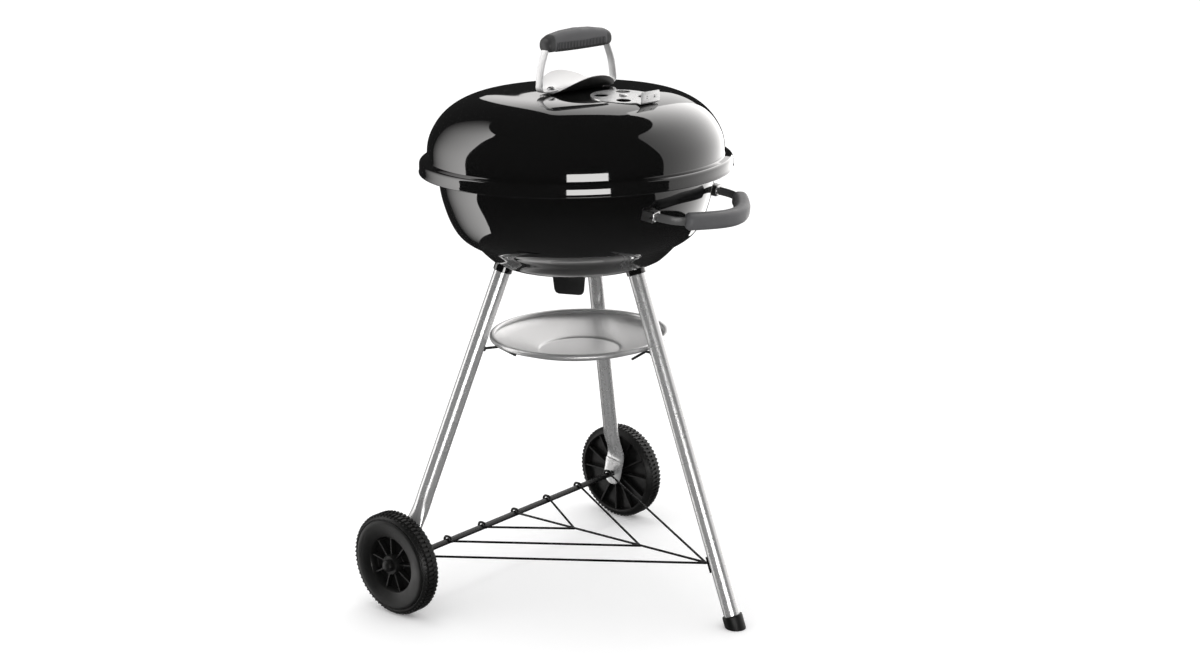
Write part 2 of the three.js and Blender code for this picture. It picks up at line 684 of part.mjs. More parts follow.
// A rear leg: tube above, crushed flat round the axle below.
function makeRearLeg(side) {
  const top = rearLegAt(side, LEG_TOP_HEIGHT);
  const hub = [side * CRUSHED_PLANE, AXLE_SETBACK, WHEEL_RADIUS];
  const crush = rearLegAt(side, CRUSH_HEIGHT);
  const plate = outline(
    rounded(
      [
        [-CRUSHED_WIDTH / 2, 43],
        [-CRUSHED_WIDTH / 2, -19],
        [0, -20],
        [CRUSHED_WIDTH / 2, -19],
        [CRUSHED_WIDTH / 2, 43],
      ],
      17,
      3,
    ),
  );
  const lean = Math.atan2(8.4, 42.2);
  const flat = slab(plate, CRUSHED_THICKNESS).rotateX(Math.PI / 2).rotateZ(Math.PI / 2);
  flat.rotateX(lean).translate(...hub);
  const axis = new THREE.Vector3(...crush).sub(new THREE.Vector3(...top)).normalize();
  const spin = new THREE.Quaternion().setFromUnitVectors(new THREE.Vector3(0, 0, -1), axis);
  const mouthCentre = new THREE.Vector3(...pointAt(crush, top, 0.6));
  const mouth = [...Array(16).keys()].map((i) => {
    const angle = (i * Math.PI) / 8;
    const point = new THREE.Vector3(Math.cos(angle), Math.sin(angle), 0);
    return point.multiplyScalar(TUBE_RADIUS).applyQuaternion(spin).add(mouthCentre);
  });
  const corners = [-1, 1].flatMap((across) =>
    [-1, 1].flatMap((face) =>
      [0, -4].map((drop) => {
        const reach = (across * CRUSHED_WIDTH) / 2;
        const point = new THREE.Vector3((face * CRUSHED_THICKNESS) / 2, reach, 42 + drop);
        return point.applyAxisAngle(new THREE.Vector3(1, 0, 0), lean).add(new THREE.Vector3(...hub));
      }),
    ),
  );
  const pinch = solid(new ConvexGeometry([...mouth, ...corners]));
  const bore = rod([hub[0] - 20, hub[1], hub[2]], [hub[0] + 20, hub[1], hub[2]], AXLE_RADIUS + GAP);
  const leg = join(tube(top, crush), pinch, solid(flat));
  return cut(leg, bore, clipHole(side * REAR_LEG_ANGLE, rearLegReach(CLIP_HEIGHT)));
}

// A plug that stands in the top of a leg, with a collar against the bowl.
function makeSocket(top, below) {
  const plug = rod(pointAt(top, below, 34), pointAt(top, below, -4), TUBE_RADIUS - TUBE_WALL - GAP);
  const collar = rod(pointAt(top, below, -GAP), pointAt(top, below, -26), TUBE_RADIUS + 2.2);
  return cut(join(plug, collar), bowlFill(GAP));
}

// ---- ash pan ----
const CLIP_HEIGHT = PAN_RIM_HEIGHT - PAN_BEAD / 2 - GAP - CLIP_WIRE / 2;
const PAN_OFFSET = 1;
const CLIP_INSET = 35; // how far the clips reach in under the pan
const CLIP_DROP = 17;

function makeAshPan() {
  const floor = PAN_RIM_HEIGHT - PAN_DEPTH;
  const rimCentre = PAN_RADIUS - PAN_BEAD / 2;
  const half = PAN_BEAD / 2;
  const line = [
    [rimCentre - 3.4, PAN_RIM_HEIGHT - 3],
    [rimCentre - 10, PAN_RIM_HEIGHT - 8],
    [PAN_RADIUS - 41.5, PAN_RIM_HEIGHT - 16],
    [68, floor + 3.5],
    [63, floor],
    [0, floor - 1],
  ];
  const inner = offsetLine(line, -PAN_SHEET);
  inner[inner.length - 1][0] = 0;
  const bead = [
    [rimCentre - half, PAN_RIM_HEIGHT + 0.5],
    [rimCentre - half / 2, PAN_RIM_HEIGHT + half],
    [rimCentre + half / 2, PAN_RIM_HEIGHT + half],
    [rimCentre + half, PAN_RIM_HEIGHT],
    [rimCentre + half / 2, PAN_RIM_HEIGHT - half],
    [rimCentre - half / 3, PAN_RIM_HEIGHT - half],
  ];
  return moved(revolve([...line, ...inner.reverse(), ...bead]), 0, PAN_OFFSET, 0);
}

// A wire out of a leg's inner side, under the pan's rim and down towards the middle.
function makePanClip(angle, legReach) {
  const line = [
    [legReach - TUBE_RADIUS + 5, CLIP_HEIGHT],
    [PAN_RADIUS - PAN_BEAD + 1, CLIP_HEIGHT],
    [PAN_RADIUS - CLIP_INSET, CLIP_HEIGHT - CLIP_DROP],
  ];
  const [start, bend, end] = line.map(([n, z]) => [...turnedAboutZ(0, -n, angle), z]);
  return join(rod(start, bend, CLIP_WIRE / 2, 8), rod(pointAt(bend, start, 0.6), end, CLIP_WIRE / 2, 9));
}

// ---- bottom rack ----
const RACK_FRONT_HEIGHT = 93;
const RACK_SCREW_RADIUS = 2.2;
const RACK_REAR_HEIGHT = 84;
const RACK_HOOK = 4.2; // section of the hooks
const RACK_WELD = 0.6; // side wires meet the middle one this far below its axis
const RACK_HOOK_GAP = 0.9; // between the hooks and the axle
const RACK_FRONT = -frontLegReach(RACK_FRONT_HEIGHT) + TUBE_RADIUS / 0.943 + GAP;
const RACK_REAR = AXLE_SETBACK - AXLE_RADIUS - RACK_HOOK / 2 - RACK_HOOK_GAP;
const RACK_JOINTS = { 1: 20, 2: -118, 3: RACK_FRONT + 9 };

function rackHeight(y) {
  const t = (RACK_REAR - y) / (RACK_REAR - RACK_FRONT);
  return RACK_REAR_HEIGHT + (RACK_FRONT_HEIGHT - RACK_REAR_HEIGHT) * t;
}

function makeRack() {
  const pieces = [];
  const behind = 2 * AXLE_SETBACK - RACK_REAR;
  const over = WHEEL_RADIUS + AXLE_RADIUS + RACK_HOOK / 2 + RACK_HOOK_GAP;
  const hookLine = [
    [RACK_REAR, RACK_REAR_HEIGHT - RACK_HOOK * 0.7],
    [RACK_REAR, over],
    [behind, over],
    [behind, WHEEL_RADIUS - 7],
  ];
  const hook = solid(alongX(slab(barOutline(hookLine, RACK_HOOK), RACK_HOOK)));
  for (const order of [-3, -2, -1, 0, 1, 2, 3]) {
    const meet = order === 0 ? RACK_FRONT + 1 : RACK_JOINTS[Math.abs(order)];
    const x = order * RACK_PITCH;
    const start = [0, meet, rackHeight(meet) - (order === 0 ? 0 : RACK_WELD)];
    pieces.push(rod(start, [x, RACK_REAR, RACK_REAR_HEIGHT], RACK_WIRE / 2, WIRE_SIDES));
    pieces.push(moved(hook, x, 0, 0));
  }
  const lean = Math.atan(FRONT_LEG_SLOPE);
  const plate = new THREE.BoxGeometry(14, 2, 26).translate(0, 1 + GAP, 0).rotateX(-lean);
  plate.translate(0, -frontLegReach(RACK_FRONT_HEIGHT) + TUBE_RADIUS / Math.cos(lean), RACK_FRONT_HEIGHT);
  return cut(join(...pieces, solid(plate)), rackScrew(RACK_SCREW_RADIUS + GAP));
}

// The screw through the rack's plate into the front leg, square to the tube.
function rackScrew(radius, from = -14, to = 10) {
  const lean = Math.atan(FRONT_LEG_SLOPE);
  const height = RACK_FRONT_HEIGHT - 8;
  const face = -frontLegReach(height) + TUBE_RADIUS / Math.cos(lean);
  const ends = [from, to].map((t) => [0, face + t * Math.cos(lean), height - t * Math.sin(lean)]);
  return rod(...ends, radius, 16);
}

function makeRackScrew() {
  return join(rackScrew(RACK_SCREW_RADIUS, -8, 3.4), rackScrew(4.2, 2 + 2 * GAP, 4.6));
}

// ---- wheels ----
function makeAxle() {
  const x = WHEEL_OUTER_FACE + 5;
  return rod([-x, AXLE_SETBACK, WHEEL_RADIUS], [x, AXLE_SETBACK, WHEEL_RADIUS], AXLE_RADIUS, 20);
}

// Moves a piece drawn for the right-hand end of the axle to the side wanted.
function atAxleEnd(body, side) {
  const turned = side > 0 ? body : body.rotate([0, 0, 180]);
  return moved(turned, 0, AXLE_SETBACK, WHEEL_RADIUS);
}

function makeWheel(side) {
  const [near, far] = [WHEEL_INNER_FACE, WHEEL_OUTER_FACE];
  const r = WHEEL_RADIUS;
  const bore = AXLE_RADIUS + RUNNING_FIT;
  const web = near + 12;
  const body = revolveAlongX(
    [
      [bore, near],
      [15, near],
      [15, web],
      [69, web],
      [70, near],
      [r, near + TREAD_SHOULDER],
      [r, far - TREAD_SHOULDER],
      [75, far - 1],
      [68, far],
      [48, far - 3],
      [43, web + 5],
      [16, web + 5],
      [15, far - 1],
      [bore, far - 1],
    ],
    28,
  );
  const ribs = [...Array(WHEEL_RIBS).keys()].flatMap((i) => {
    const angle = (360 / WHEEL_RIBS) * i;
    const outer = box([7, 2.4, 30], [web + 7, 0, 29.5]).rotate([angle, 0, 0]);
    const inner = box([9, 2.4, 55], [near + 8, 0, 41]).rotate([angle, 0, 0]);
    return [outer, inner];
  });
  return atAxleEnd(join(body, ...ribs), side);
}

function makeWasher(side) {
  const x = CRUSHED_PLANE + CRUSHED_THICKNESS / 2 + GAP;
  const bore = AXLE_RADIUS + GAP;
  const end = WHEEL_INNER_FACE - GAP;
  const profile = [
    [bore, x],
    [12, x],
    [12, end],
    [bore, end],
  ];
  return atAxleEnd(revolveAlongX(profile, 24), side);
}

function makeAxleCap(side) {
  const start = WHEEL_OUTER_FACE - 1 + GAP;
  const bore = AXLE_RADIUS + GAP;
  const bottom = WHEEL_OUTER_FACE + 5 + GAP;
  const profile = [
    [bore, start],
    [9.5, start],
    [9.5, bottom - 1],
    [7, bottom + 1.6],
    [0, bottom + 2.4],
    [0, bottom],
    [bore, bottom],
  ];
  return atAxleEnd(revolveAlongX(profile, 24), side);
}

// ---- assembly ----
const grill = new THREE.Group();
grill.name = "kettle_grill";

const lidGroup = new THREE.Group();
lidGroup.name = "lid_group";
lidGroup.rotation.z = LID_TURN;
lidGroup.add(
  part("lid", makeLid(), "enamel"),
  part("lid_damper", makeLidDamper(), "aluminium"),
  part("lid_damper_rivet", makeLidDamperRivet(), "polished"),
  part("heat_shield", makeHeatShield(), "galvanised"),
  part("lid_handle_strap", makeHandleStrap(), "aluminium"),
  part("lid_grip", makeLidGrip(), "grip"),
);
for (const [name, side] of [["left", -1], ["right", 1]]) {
  lidGroup.add(part("lid_handle_bolt_" + name, makeHandleBolt(side), "galvanised"));
  lidGroup.add(part("lid_handle_nut_" + name, makeHandleNut(side), "galvanised"));
}

const bowlGroup = new THREE.Group();
bowlGroup.name = "bowl_group";
bowlGroup.add(
  part("bowl", makeBowl(), "enamel"),
  part("cooking_grate", makeGrate(GRATE_RADIUS, GRATE_HEIGHT, 6, 4, 13, [-60, 60]), "grate"),
  part("charcoal_grate", makeGrate(COAL_GRATE_RADIUS, COAL_GRATE_HEIGHT, 6, 5, 7, [-60, 60]), "grate"),
  part("bowl_damper", makeBowlDamper(), "darkEnamel"),
  part("bowl_damper_rivet", makeBowlDamperRivet(), "galvanised"),
  part("bowl_handle_bow", makeBow(), "wire"),
  part("bowl_handle_grip", makeBowlGrip(), "grip"),
  part("bowl_handle_bracket_left", makeBracket(1), "polished"),
  part("bowl_handle_bracket_right", makeBracket(-1), "polished"),
);
for (let i = 0; i < LEDGES; i++) bowlGroup.add(part("grate_ledge_" + (i + 1), makeLedge(i), "galvanised"));

const cart = new THREE.Group();
cart.name = "cart_group";
cart.add(
  part("leg_front", makeFrontLeg(), "polished"),
  part("leg_socket_front", makeSocket(FRONT_TOP, FRONT_FOOT), "darkEnamel"),
  part("front_foot_cap", makeFootCap(), "tyre"),
  part("ash_pan", makeAshPan(), "aluminium"),
  part("pan_clip_front", makePanClip(0, frontLegReach(CLIP_HEIGHT)), "wire"),
  part("bottom_rack", makeRack(), "wire"),
  part("rack_screw", makeRackScrew(), "galvanised"),
  part("axle", makeAxle(), "wire"),
);
for (const [name, side] of [["left", -1], ["right", 1]]) {
  const top = rearLegAt(side, LEG_TOP_HEIGHT);
  cart.add(
    part("leg_" + name, makeRearLeg(side), "polished"),
    part("leg_socket_" + name, makeSocket(top, rearLegAt(side, CRUSH_HEIGHT)), "darkEnamel"),
    part("pan_clip_" + name, makePanClip(side * REAR_LEG_ANGLE, rearLegReach(CLIP_HEIGHT)), "wire"),
    part("wheel_" + name, makeWheel(side), "tyre"),
    part("wheel_washer_" + name, makeWasher(side), "galvanised"),
    part("axle_cap_" + name, makeAxleCap(side), "tyre"),
  );
}

grill.add(lidGroup, bowlGroup, cart);

// The part's origin is the middle of its footprint, on the floor.
const bounds = new THREE.Box3().setFromObject(grill, true);
const middle = bounds.getCenter(new THREE.Vector3());
grill.position.set(-middle.x, -middle.y, -bounds.min.z);

export default grill;
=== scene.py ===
# Kettle charcoal grill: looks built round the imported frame. Lengths in the dictionaries are millimetres.
import bpy
import bmesh
import math
import numpy as np
from mathutils import Matrix, Vector


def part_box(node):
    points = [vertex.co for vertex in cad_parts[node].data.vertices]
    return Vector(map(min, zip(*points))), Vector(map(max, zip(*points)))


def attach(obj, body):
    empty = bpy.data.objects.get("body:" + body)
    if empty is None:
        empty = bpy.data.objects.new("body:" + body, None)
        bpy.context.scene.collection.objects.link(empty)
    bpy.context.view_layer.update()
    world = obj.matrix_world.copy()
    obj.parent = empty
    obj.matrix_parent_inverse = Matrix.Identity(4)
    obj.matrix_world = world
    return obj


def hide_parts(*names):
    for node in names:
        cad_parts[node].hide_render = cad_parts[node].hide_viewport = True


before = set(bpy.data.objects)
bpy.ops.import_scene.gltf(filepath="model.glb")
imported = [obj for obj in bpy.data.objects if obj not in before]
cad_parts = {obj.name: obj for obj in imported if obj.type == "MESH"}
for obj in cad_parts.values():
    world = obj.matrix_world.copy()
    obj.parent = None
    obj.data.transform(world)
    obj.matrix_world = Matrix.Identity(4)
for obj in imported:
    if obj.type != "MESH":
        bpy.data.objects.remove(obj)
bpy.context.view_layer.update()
print("frame loaded,", len(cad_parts), "nodes")


# ---- places taken from the frame ----
def boxMid(node):
    low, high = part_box(node)
    return (low + high) / 2 if isinstance(low, Vector) else (Vector(low) + Vector(high)) / 2


def boxLow(node):
    return Vector(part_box(node)[0]) * 1000


def boxHigh(node):
    return Vector(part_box(node)[1]) * 1000


kettleMid = boxMid("bowl")
kettle = {
    "y": kettleMid.y * 1000,  # the kettle's axis stands at x = 0
    "seam": boxHigh("bowl").z + 1.8,  # top of the rim band
    "crown": boxHigh("lid").z,
    "floor": boxHigh("bowl_damper").z + 0.35,  # outside of the bowl's floor
    "radius": boxHigh("bowl").x + 4,
    "lidTurn": -0.08,
    "axleY": boxMid("axle").y * 1000 - kettleMid.y * 1000,
    "axleZ": boxMid("axle").z * 1000,
}
seam = kettle["seam"]


# ---- small tools ----
def toFrame(points, turn=0.0):
    c, s = math.cos(turn), math.sin(turn)
    return [(
        (x * c - y * s) / 1000,
        (x * s + y * c + kettle["y"]) / 1000,
        z / 1000,
    ) for x, y, z in points]


def newMesh(name, points, faces, material, turn=0.0, sharp=32):
    mesh = bpy.data.meshes.new(name)
    mesh.from_pydata(toFrame(points, turn), [], faces)
    body = bmesh.new()
    body.from_mesh(mesh)
    bmesh.ops.remove_doubles(body, verts=body.verts, dist=1e-6)
    bmesh.ops.recalc_face_normals(body, faces=body.faces)
    body.to_mesh(mesh)
    body.free()
    thing = bpy.data.objects.new(name, mesh)
    bpy.context.scene.collection.objects.link(thing)
    if material:
        mesh.materials.append(material)
    soften(mesh, sharp)
    return thing


def soften(mesh, sharp):
    mesh.polygons.foreach_set("use_smooth", [True] * len(mesh.polygons))
    mesh.set_sharp_from_angle(angle=math.radians(sharp))


# Turns what the modifiers give into the object's own plain mesh.
def bake(thing, sharp=32):
    graph = bpy.context.evaluated_depsgraph_get()
    mesh = bpy.data.meshes.new_from_object(thing.evaluated_get(graph), depsgraph=graph)
    thing.modifiers.clear()
    old = thing.data
    thing.data = mesh
    mesh.name = thing.name
    bpy.data.meshes.remove(old)
    soften(mesh, sharp)
    return thing


def trim(thing, tools, sharp=32, keep=False):
    for tool in tools:
        step = thing.modifiers.new("cut", "BOOLEAN")
        step.operation = "DIFFERENCE"
        step.solver = "EXACT"
        step.object = tool
    bake(thing, sharp)
    if not keep:
        for tool in tools:
            bpy.data.objects.remove(tool)
    return thing


def bevel(thing, width, segments=3, angle=40, sharp=32):
    step = thing.modifiers.new("bevel", "BEVEL")
    step.width = width / 1000
    step.segments = segments
    step.limit_method = "ANGLE"
    step.angle_limit = math.radians(angle)
    step.harden_normals = False
    return bake(thing, sharp)


# Several objects become one mesh under the given name.
def merge(name, things, material, sharp=32):
    body = bmesh.new()
    for thing in things:
        body.from_mesh(thing.data)
        bpy.data.objects.remove(thing)
    mesh = bpy.data.meshes.new(name)
    for face in body.faces:
        face.material_index = 0
    body.to_mesh(mesh)
    body.free()
    mesh.materials.append(material)
    soften(mesh, sharp)
    whole = bpy.data.objects.new(name, mesh)
    bpy.context.scene.collection.objects.link(whole)
    return whole


# A natural cubic spline through points of any size, by chord length.
def splineThrough(points, count):
    p = np.array(points, float)
    t = np.concatenate([[0], np.cumsum(np.linalg.norm(np.diff(p, axis=0), axis=1))])
    n, h = len(p), np.diff(t)
    a, b = np.eye(n), np.zeros_like(p)
    for i in range(1, n - 1):
        a[i, i - 1], a[i, i], a[i, i + 1] = h[i - 1], 2 * (h[i - 1] + h[i]), h[i]
        b[i] = 6 * ((p[i + 1] - p[i]) / h[i] - (p[i] - p[i - 1]) / h[i - 1])
    m = np.linalg.solve(a, b)
    out = []
    for s in np.linspace(0, t[-1], count):
        k = min(max(int(np.searchsorted(t, s)) - 1, 0), n - 2)
        u, v, w = t[k + 1] - s, s - t[k], h[k]
        out.append(m[k] * u**3 / (6 * w) + m[k + 1] * v**3 / (6 * w)
                   + (p[k] / w - m[k] * w / 6) * u + (p[k + 1] / w - m[k + 1] * w / 6) * v)
    return [tuple(v) for v in out]


def arc(centre, radius, start, end, count):
    spots = [math.radians(start + (end - start) * i / (count - 1)) for i in range(count)]
    return [(centre[0] + radius * math.cos(a), centre[1] + radius * math.sin(a)) for a in spots]


# A closed (radius, height) profile turned round an axis; "place" maps its points into the kettle.
def lathe(name, profile, sides, material, place=None, sharp=32, turn=0.0):
    points, rings = [], []
    for r, z in profile:
        if r < 1e-4:
            rings.append([len(points)] * sides)
            points.append((0, 0, z))
        else:
            rings.append(list(range(len(points), len(points) + sides)))
            for i in range(sides):
                a = 2 * math.pi * (i + 0.5) / sides
                points.append((r * math.cos(a), r * math.sin(a), z))
    faces = []
    for k, ring in enumerate(rings):
        after = rings[(k + 1) % len(rings)]
        for i in range(sides):
            j = (i + 1) % sides
            face = []
            for v in (ring[i], ring[j], after[j], after[i]):
                if v not in face:
                    face.append(v)
            if len(face) > 2:
                faces.append(face)
    if place:
        points = [tuple(place @ Vector(p)) for p in points]
    return newMesh(name, points, faces, material, turn, sharp)


# A closed section carried along a path of points; each step may have its own section.
def loft(name, sections, material, sharp=32, turn=0.0, closeEnds=True):
    points, size = [], len(sections[0])
    for section in sections:
        points += [tuple(p) for p in section]
    faces = []
    for k in range(len(sections) - 1):
        for i in range(size):
            j = (i + 1) % size
            faces.append([k * size + i, k * size + j, (k + 1) * size + j, (k + 1) * size + i])
    if closeEnds:
        faces.append(list(range(size))[::-1])
        faces.append(list(range((len(sections) - 1) * size, len(sections) * size)))
    return newMesh(name, points, faces, material, turn, sharp)


# Rounded rectangle in two directions, as offsets.
def roundedSection(width, height, corner, steps=4):
    out = []
    w, h = width / 2 - corner, height / 2 - corner
    for cx, cy, start in ((w, h, 0), (-w, h, 90), (-w, -h, 180), (w, -h, 270)):
        out += arc((cx, cy), corner, start, start + 90, steps)
    return out


def axisPlace(start, end):
    direction = (Vector(end) - Vector(start)).normalized()
    turn = direction.to_track_quat("Z", "Y").to_matrix().to_4x4()
    return Matrix.Translation(Vector(start)) @ turn


def rodBetween(name, start, end, radius, material, sides=48, turn=0.0):
    length = (Vector(end) - Vector(start)).length
    return lathe(name, [(0, 0), (radius, 0), (radius, length), (0, length)], sides, material,
                 axisPlace(start, end), 32, turn)


def blockAt(name, size, middle, material, turn=0.0, place=None):
    w, d, h = (v / 2 for v in size)
    points = [(x, y, z) for z in (-h, h) for y in (-d, d) for x in (-w, w)]
    points = [tuple(Vector(p) + Vector(middle)) for p in points]
    if place:
        points = [tuple(place @ Vector(p)) for p in points]
    faces = [[0, 2, 3, 1], [4, 5, 7, 6], [0, 1, 5, 4], [2, 6, 7, 3], [0, 4, 6, 2], [1, 3, 7, 5]]
    return newMesh(name, points, faces, material, turn)


def settle(thing, body, slot, *nodes):
    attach(thing, body)
    if nodes:
        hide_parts(*nodes)


# ---- geometry node trees ----
def newTree(name, inputs):
    tree = bpy.data.node_groups.new(name, "GeometryNodeTree")
    tree.interface.new_socket("Geometry", in_out="INPUT", socket_type="NodeSocketGeometry")
    for label, kind, value in inputs:
        socket = tree.interface.new_socket(label, in_out="INPUT", socket_type=kind)
        if value is not None:
            socket.default_value = value
    tree.interface.new_socket("Geometry", in_out="OUTPUT", socket_type="NodeSocketGeometry")
    start = tree.nodes.new("NodeGroupInput")
    end = tree.nodes.new("NodeGroupOutput")
    return tree, start, end


def useTree(thing, tree, values, sharp=32):
    step = thing.modifiers.new(tree.name, "NODES")
    step.node_group = tree
    for item in tree.interface.items_tree:
        if item.item_type == "SOCKET" and item.in_out == "INPUT" and item.name in values:
            step[item.identifier] = values[item.name]
    return bake(thing, sharp)


# Chains of edges become round wires with filleted bends.
def makeWireTree():
    tree, start, end = newTree("wires", [
        ("Wire Radius", "NodeSocketFloat", 0.002),
        ("Bend Radius", "NodeSocketFloat", 0.006),
        ("Sides", "NodeSocketInt", 14),
        ("Finish", "NodeSocketMaterial", None),
    ])
    nodes, links = tree.nodes, tree.links
    chains = nodes.new("GeometryNodeMeshToCurve")
    bends = nodes.new("GeometryNodeFilletCurve")
    bends.mode = "POLY"
    bends.inputs["Count"].default_value = 6
    bends.inputs["Limit Radius"].default_value = True
    ring = nodes.new("GeometryNodeCurvePrimitiveCircle")
    tube = nodes.new("GeometryNodeCurveToMesh")
    tube.inputs["Fill Caps"].default_value = True
    real = nodes.new("GeometryNodeRealizeInstances")
    paint = nodes.new("GeometryNodeSetMaterial")
    links.new(start.outputs["Geometry"], chains.inputs["Mesh"])
    links.new(chains.outputs["Curve"], bends.inputs["Curve"])
    links.new(start.outputs["Bend Radius"], bends.inputs["Radius"])
    links.new(start.outputs["Wire Radius"], ring.inputs["Radius"])
    links.new(start.outputs["Sides"], ring.inputs["Resolution"])
    links.new(bends.outputs["Curve"], tube.inputs["Curve"])
    links.new(ring.outputs["Curve"], tube.inputs["Profile Curve"])
    links.new(tube.outputs["Mesh"], real.inputs["Geometry"])
    links.new(real.outputs["Geometry"], paint.inputs["Geometry"])
    links.new(start.outputs["Finish"], paint.inputs["Material"])
    links.new(paint.outputs["Geometry"], end.inputs["Geometry"])
    return tree


# Copies of one small mesh turned round an axis through the origin.
def makeRingTree():
    tree, start, end = newTree("ring of copies", [
        ("Count", "NodeSocketInt", 8),
        ("Turn", "NodeSocketFloat", 0.0),
        ("Axis", "NodeSocketVector", (0, 0, 1)),
        ("Finish", "NodeSocketMaterial", None),
    ])
    nodes, links = tree.nodes, tree.links
    spots = nodes.new("GeometryNodePoints")
    number = nodes.new("GeometryNodeInputIndex")
    share = nodes.new("ShaderNodeMath")
    share.operation = "DIVIDE"
    angle = nodes.new("ShaderNodeMath")
    angle.operation = "MULTIPLY_ADD"
    angle.inputs[1].default_value = 2 * math.pi
    aim = nodes.new("ShaderNodeVectorMath")
    aim.operation = "SCALE"
    copies = nodes.new("GeometryNodeInstanceOnPoints")
    real = nodes.new("GeometryNodeRealizeInstances")
    paint = nodes.new("GeometryNodeSetMaterial")
    links.new(start.outputs["Count"], spots.inputs["Count"])
    links.new(number.outputs[0], share.inputs[0])
    links.new(start.outputs["Count"], share.inputs[1])
    links.new(share.outputs[0], angle.inputs[0])
    links.new(start.outputs["Turn"], angle.inputs[2])
    links.new(start.outputs["Axis"], aim.inputs[0])
    links.new(angle.outputs[0], aim.inputs["Scale"])
    links.new(spots.outputs[0], copies.inputs["Points"])
    links.new(start.outputs["Geometry"], copies.inputs["Instance"])
    links.new(aim.outputs[0], copies.inputs["Rotation"])
    links.new(copies.outputs["Instances"], real.inputs["Geometry"])
    links.new(real.outputs["Geometry"], paint.inputs["Geometry"])
    links.new(start.outputs["Finish"], paint.inputs["Material"])
    links.new(paint.outputs["Geometry"], end.inputs["Geometry"])
    return tree


# Copies of one small mesh in a straight row.
def makeRowTree():
    tree, start, end = newTree("row of copies", [
        ("Count", "NodeSocketInt", 8),
        ("Step", "NodeSocketVector", (0.01, 0, 0)),
        ("Sag", "NodeSocketFloat", 0.0),
        ("Finish", "NodeSocketMaterial", None),
    ])
    nodes, links = tree.nodes, tree.links
    number = nodes.new("GeometryNodeInputIndex")
    span = nodes.new("ShaderNodeMath")
    span.operation = "SUBTRACT"
    span.inputs[1].default_value = 1
    half = nodes.new("ShaderNodeMath")
    half.operation = "DIVIDE"
    half.inputs[1].default_value = 2
    centred = nodes.new("ShaderNodeMath")
    centred.operation = "SUBTRACT"
    far = nodes.new("ShaderNodeMath")
    far.operation = "DIVIDE"
    square = nodes.new("ShaderNodeMath")
    square.operation = "MULTIPLY"
    drop = nodes.new("ShaderNodeMath")
    drop.operation = "MULTIPLY"
    lower = nodes.new("ShaderNodeCombineXYZ")
    along = nodes.new("ShaderNodeVectorMath")
    along.operation = "SCALE"
    place = nodes.new("ShaderNodeVectorMath")
    place.operation = "ADD"
    spots = nodes.new("GeometryNodePoints")
    copies = nodes.new("GeometryNodeInstanceOnPoints")
    real = nodes.new("GeometryNodeRealizeInstances")
    paint = nodes.new("GeometryNodeSetMaterial")
    links.new(start.outputs["Count"], span.inputs[0])
    links.new(span.outputs[0], half.inputs[0])
    links.new(number.outputs[0], centred.inputs[0])
    links.new(half.outputs[0], centred.inputs[1])
    links.new(centred.outputs[0], far.inputs[0])
    links.new(half.outputs[0], far.inputs[1])
    links.new(far.outputs[0], square.inputs[0])
    links.new(far.outputs[0], square.inputs[1])
    links.new(square.outputs[0], drop.inputs[0])
    links.new(start.outputs["Sag"], drop.inputs[1])
    links.new(drop.outputs[0], lower.inputs["Z"])
    links.new(start.outputs["Step"], along.inputs[0])
    links.new(centred.outputs[0], along.inputs["Scale"])
    links.new(along.outputs[0], place.inputs[0])
    links.new(lower.outputs[0], place.inputs[1])
    links.new(start.outputs["Count"], spots.inputs["Count"])
    links.new(place.outputs[0], spots.inputs["Position"])
    links.new(spots.outputs[0], copies.inputs["Points"])
    links.new(start.outputs["Geometry"], copies.inputs["Instance"])
    links.new(copies.outputs["Instances"], real.inputs["Geometry"])
    links.new(real.outputs["Geometry"], paint.inputs["Geometry"])
    links.new(start.outputs["Finish"], paint.inputs["Material"])
    links.new(paint.outputs["Geometry"], end.inputs["Geometry"])
    return tree


wireTree, ringTree, rowTree = makeWireTree(), makeRingTree(), makeRowTree()


def wires(name, chains, radius, bend, material, sides=14, turn=0.0):
    points, edges = [], []
    for chain in chains:
        first = len(points)
        points += chain
        edges += [(first + i, first + i + 1) for i in range(len(chain) - 1)]
    mesh = bpy.data.meshes.new(name)
    mesh.from_pydata(toFrame(points, turn), edges, [])
    thing = bpy.data.objects.new(name, mesh)
    bpy.context.scene.collection.objects.link(thing)
    return useTree(thing, wireTree, {
        "Wire Radius": radius / 1000, "Bend Radius": bend / 1000, "Sides": sides,
                                     "Finish": material,
    }, 40)


# A mesh drawn round the world origin is copied round an axis, then moved to its place.
def ringOf(thing, count, axis, material, turn=0.0):
    return useTree(thing, ringTree,
                   {"Count": count, "Turn": turn, "Axis": axis, "Finish": material})


def localMesh(name, points, faces):
    mesh = bpy.data.meshes.new(name)
    mesh.from_pydata([tuple(v / 1000 for v in p) for p in points], [], faces)
    thing = bpy.data.objects.new(name, mesh)
    bpy.context.scene.collection.objects.link(thing)
    return thing


def shift(thing, place):
    thing.data.transform(place)
    return thing


# ---- finishes ----
def newGroup(name, inputs, outputs):
    tree = bpy.data.node_groups.new(name, "ShaderNodeTree")
    for label, kind, value in inputs:
        socket = tree.interface.new_socket(label, in_out="INPUT", socket_type=kind)
        socket.default_value = value
    for label, kind in outputs:
        tree.interface.new_socket(label, in_out="OUTPUT", socket_type=kind)
    return tree, tree.nodes.new("NodeGroupInput"), tree.nodes.new("NodeGroupOutput")


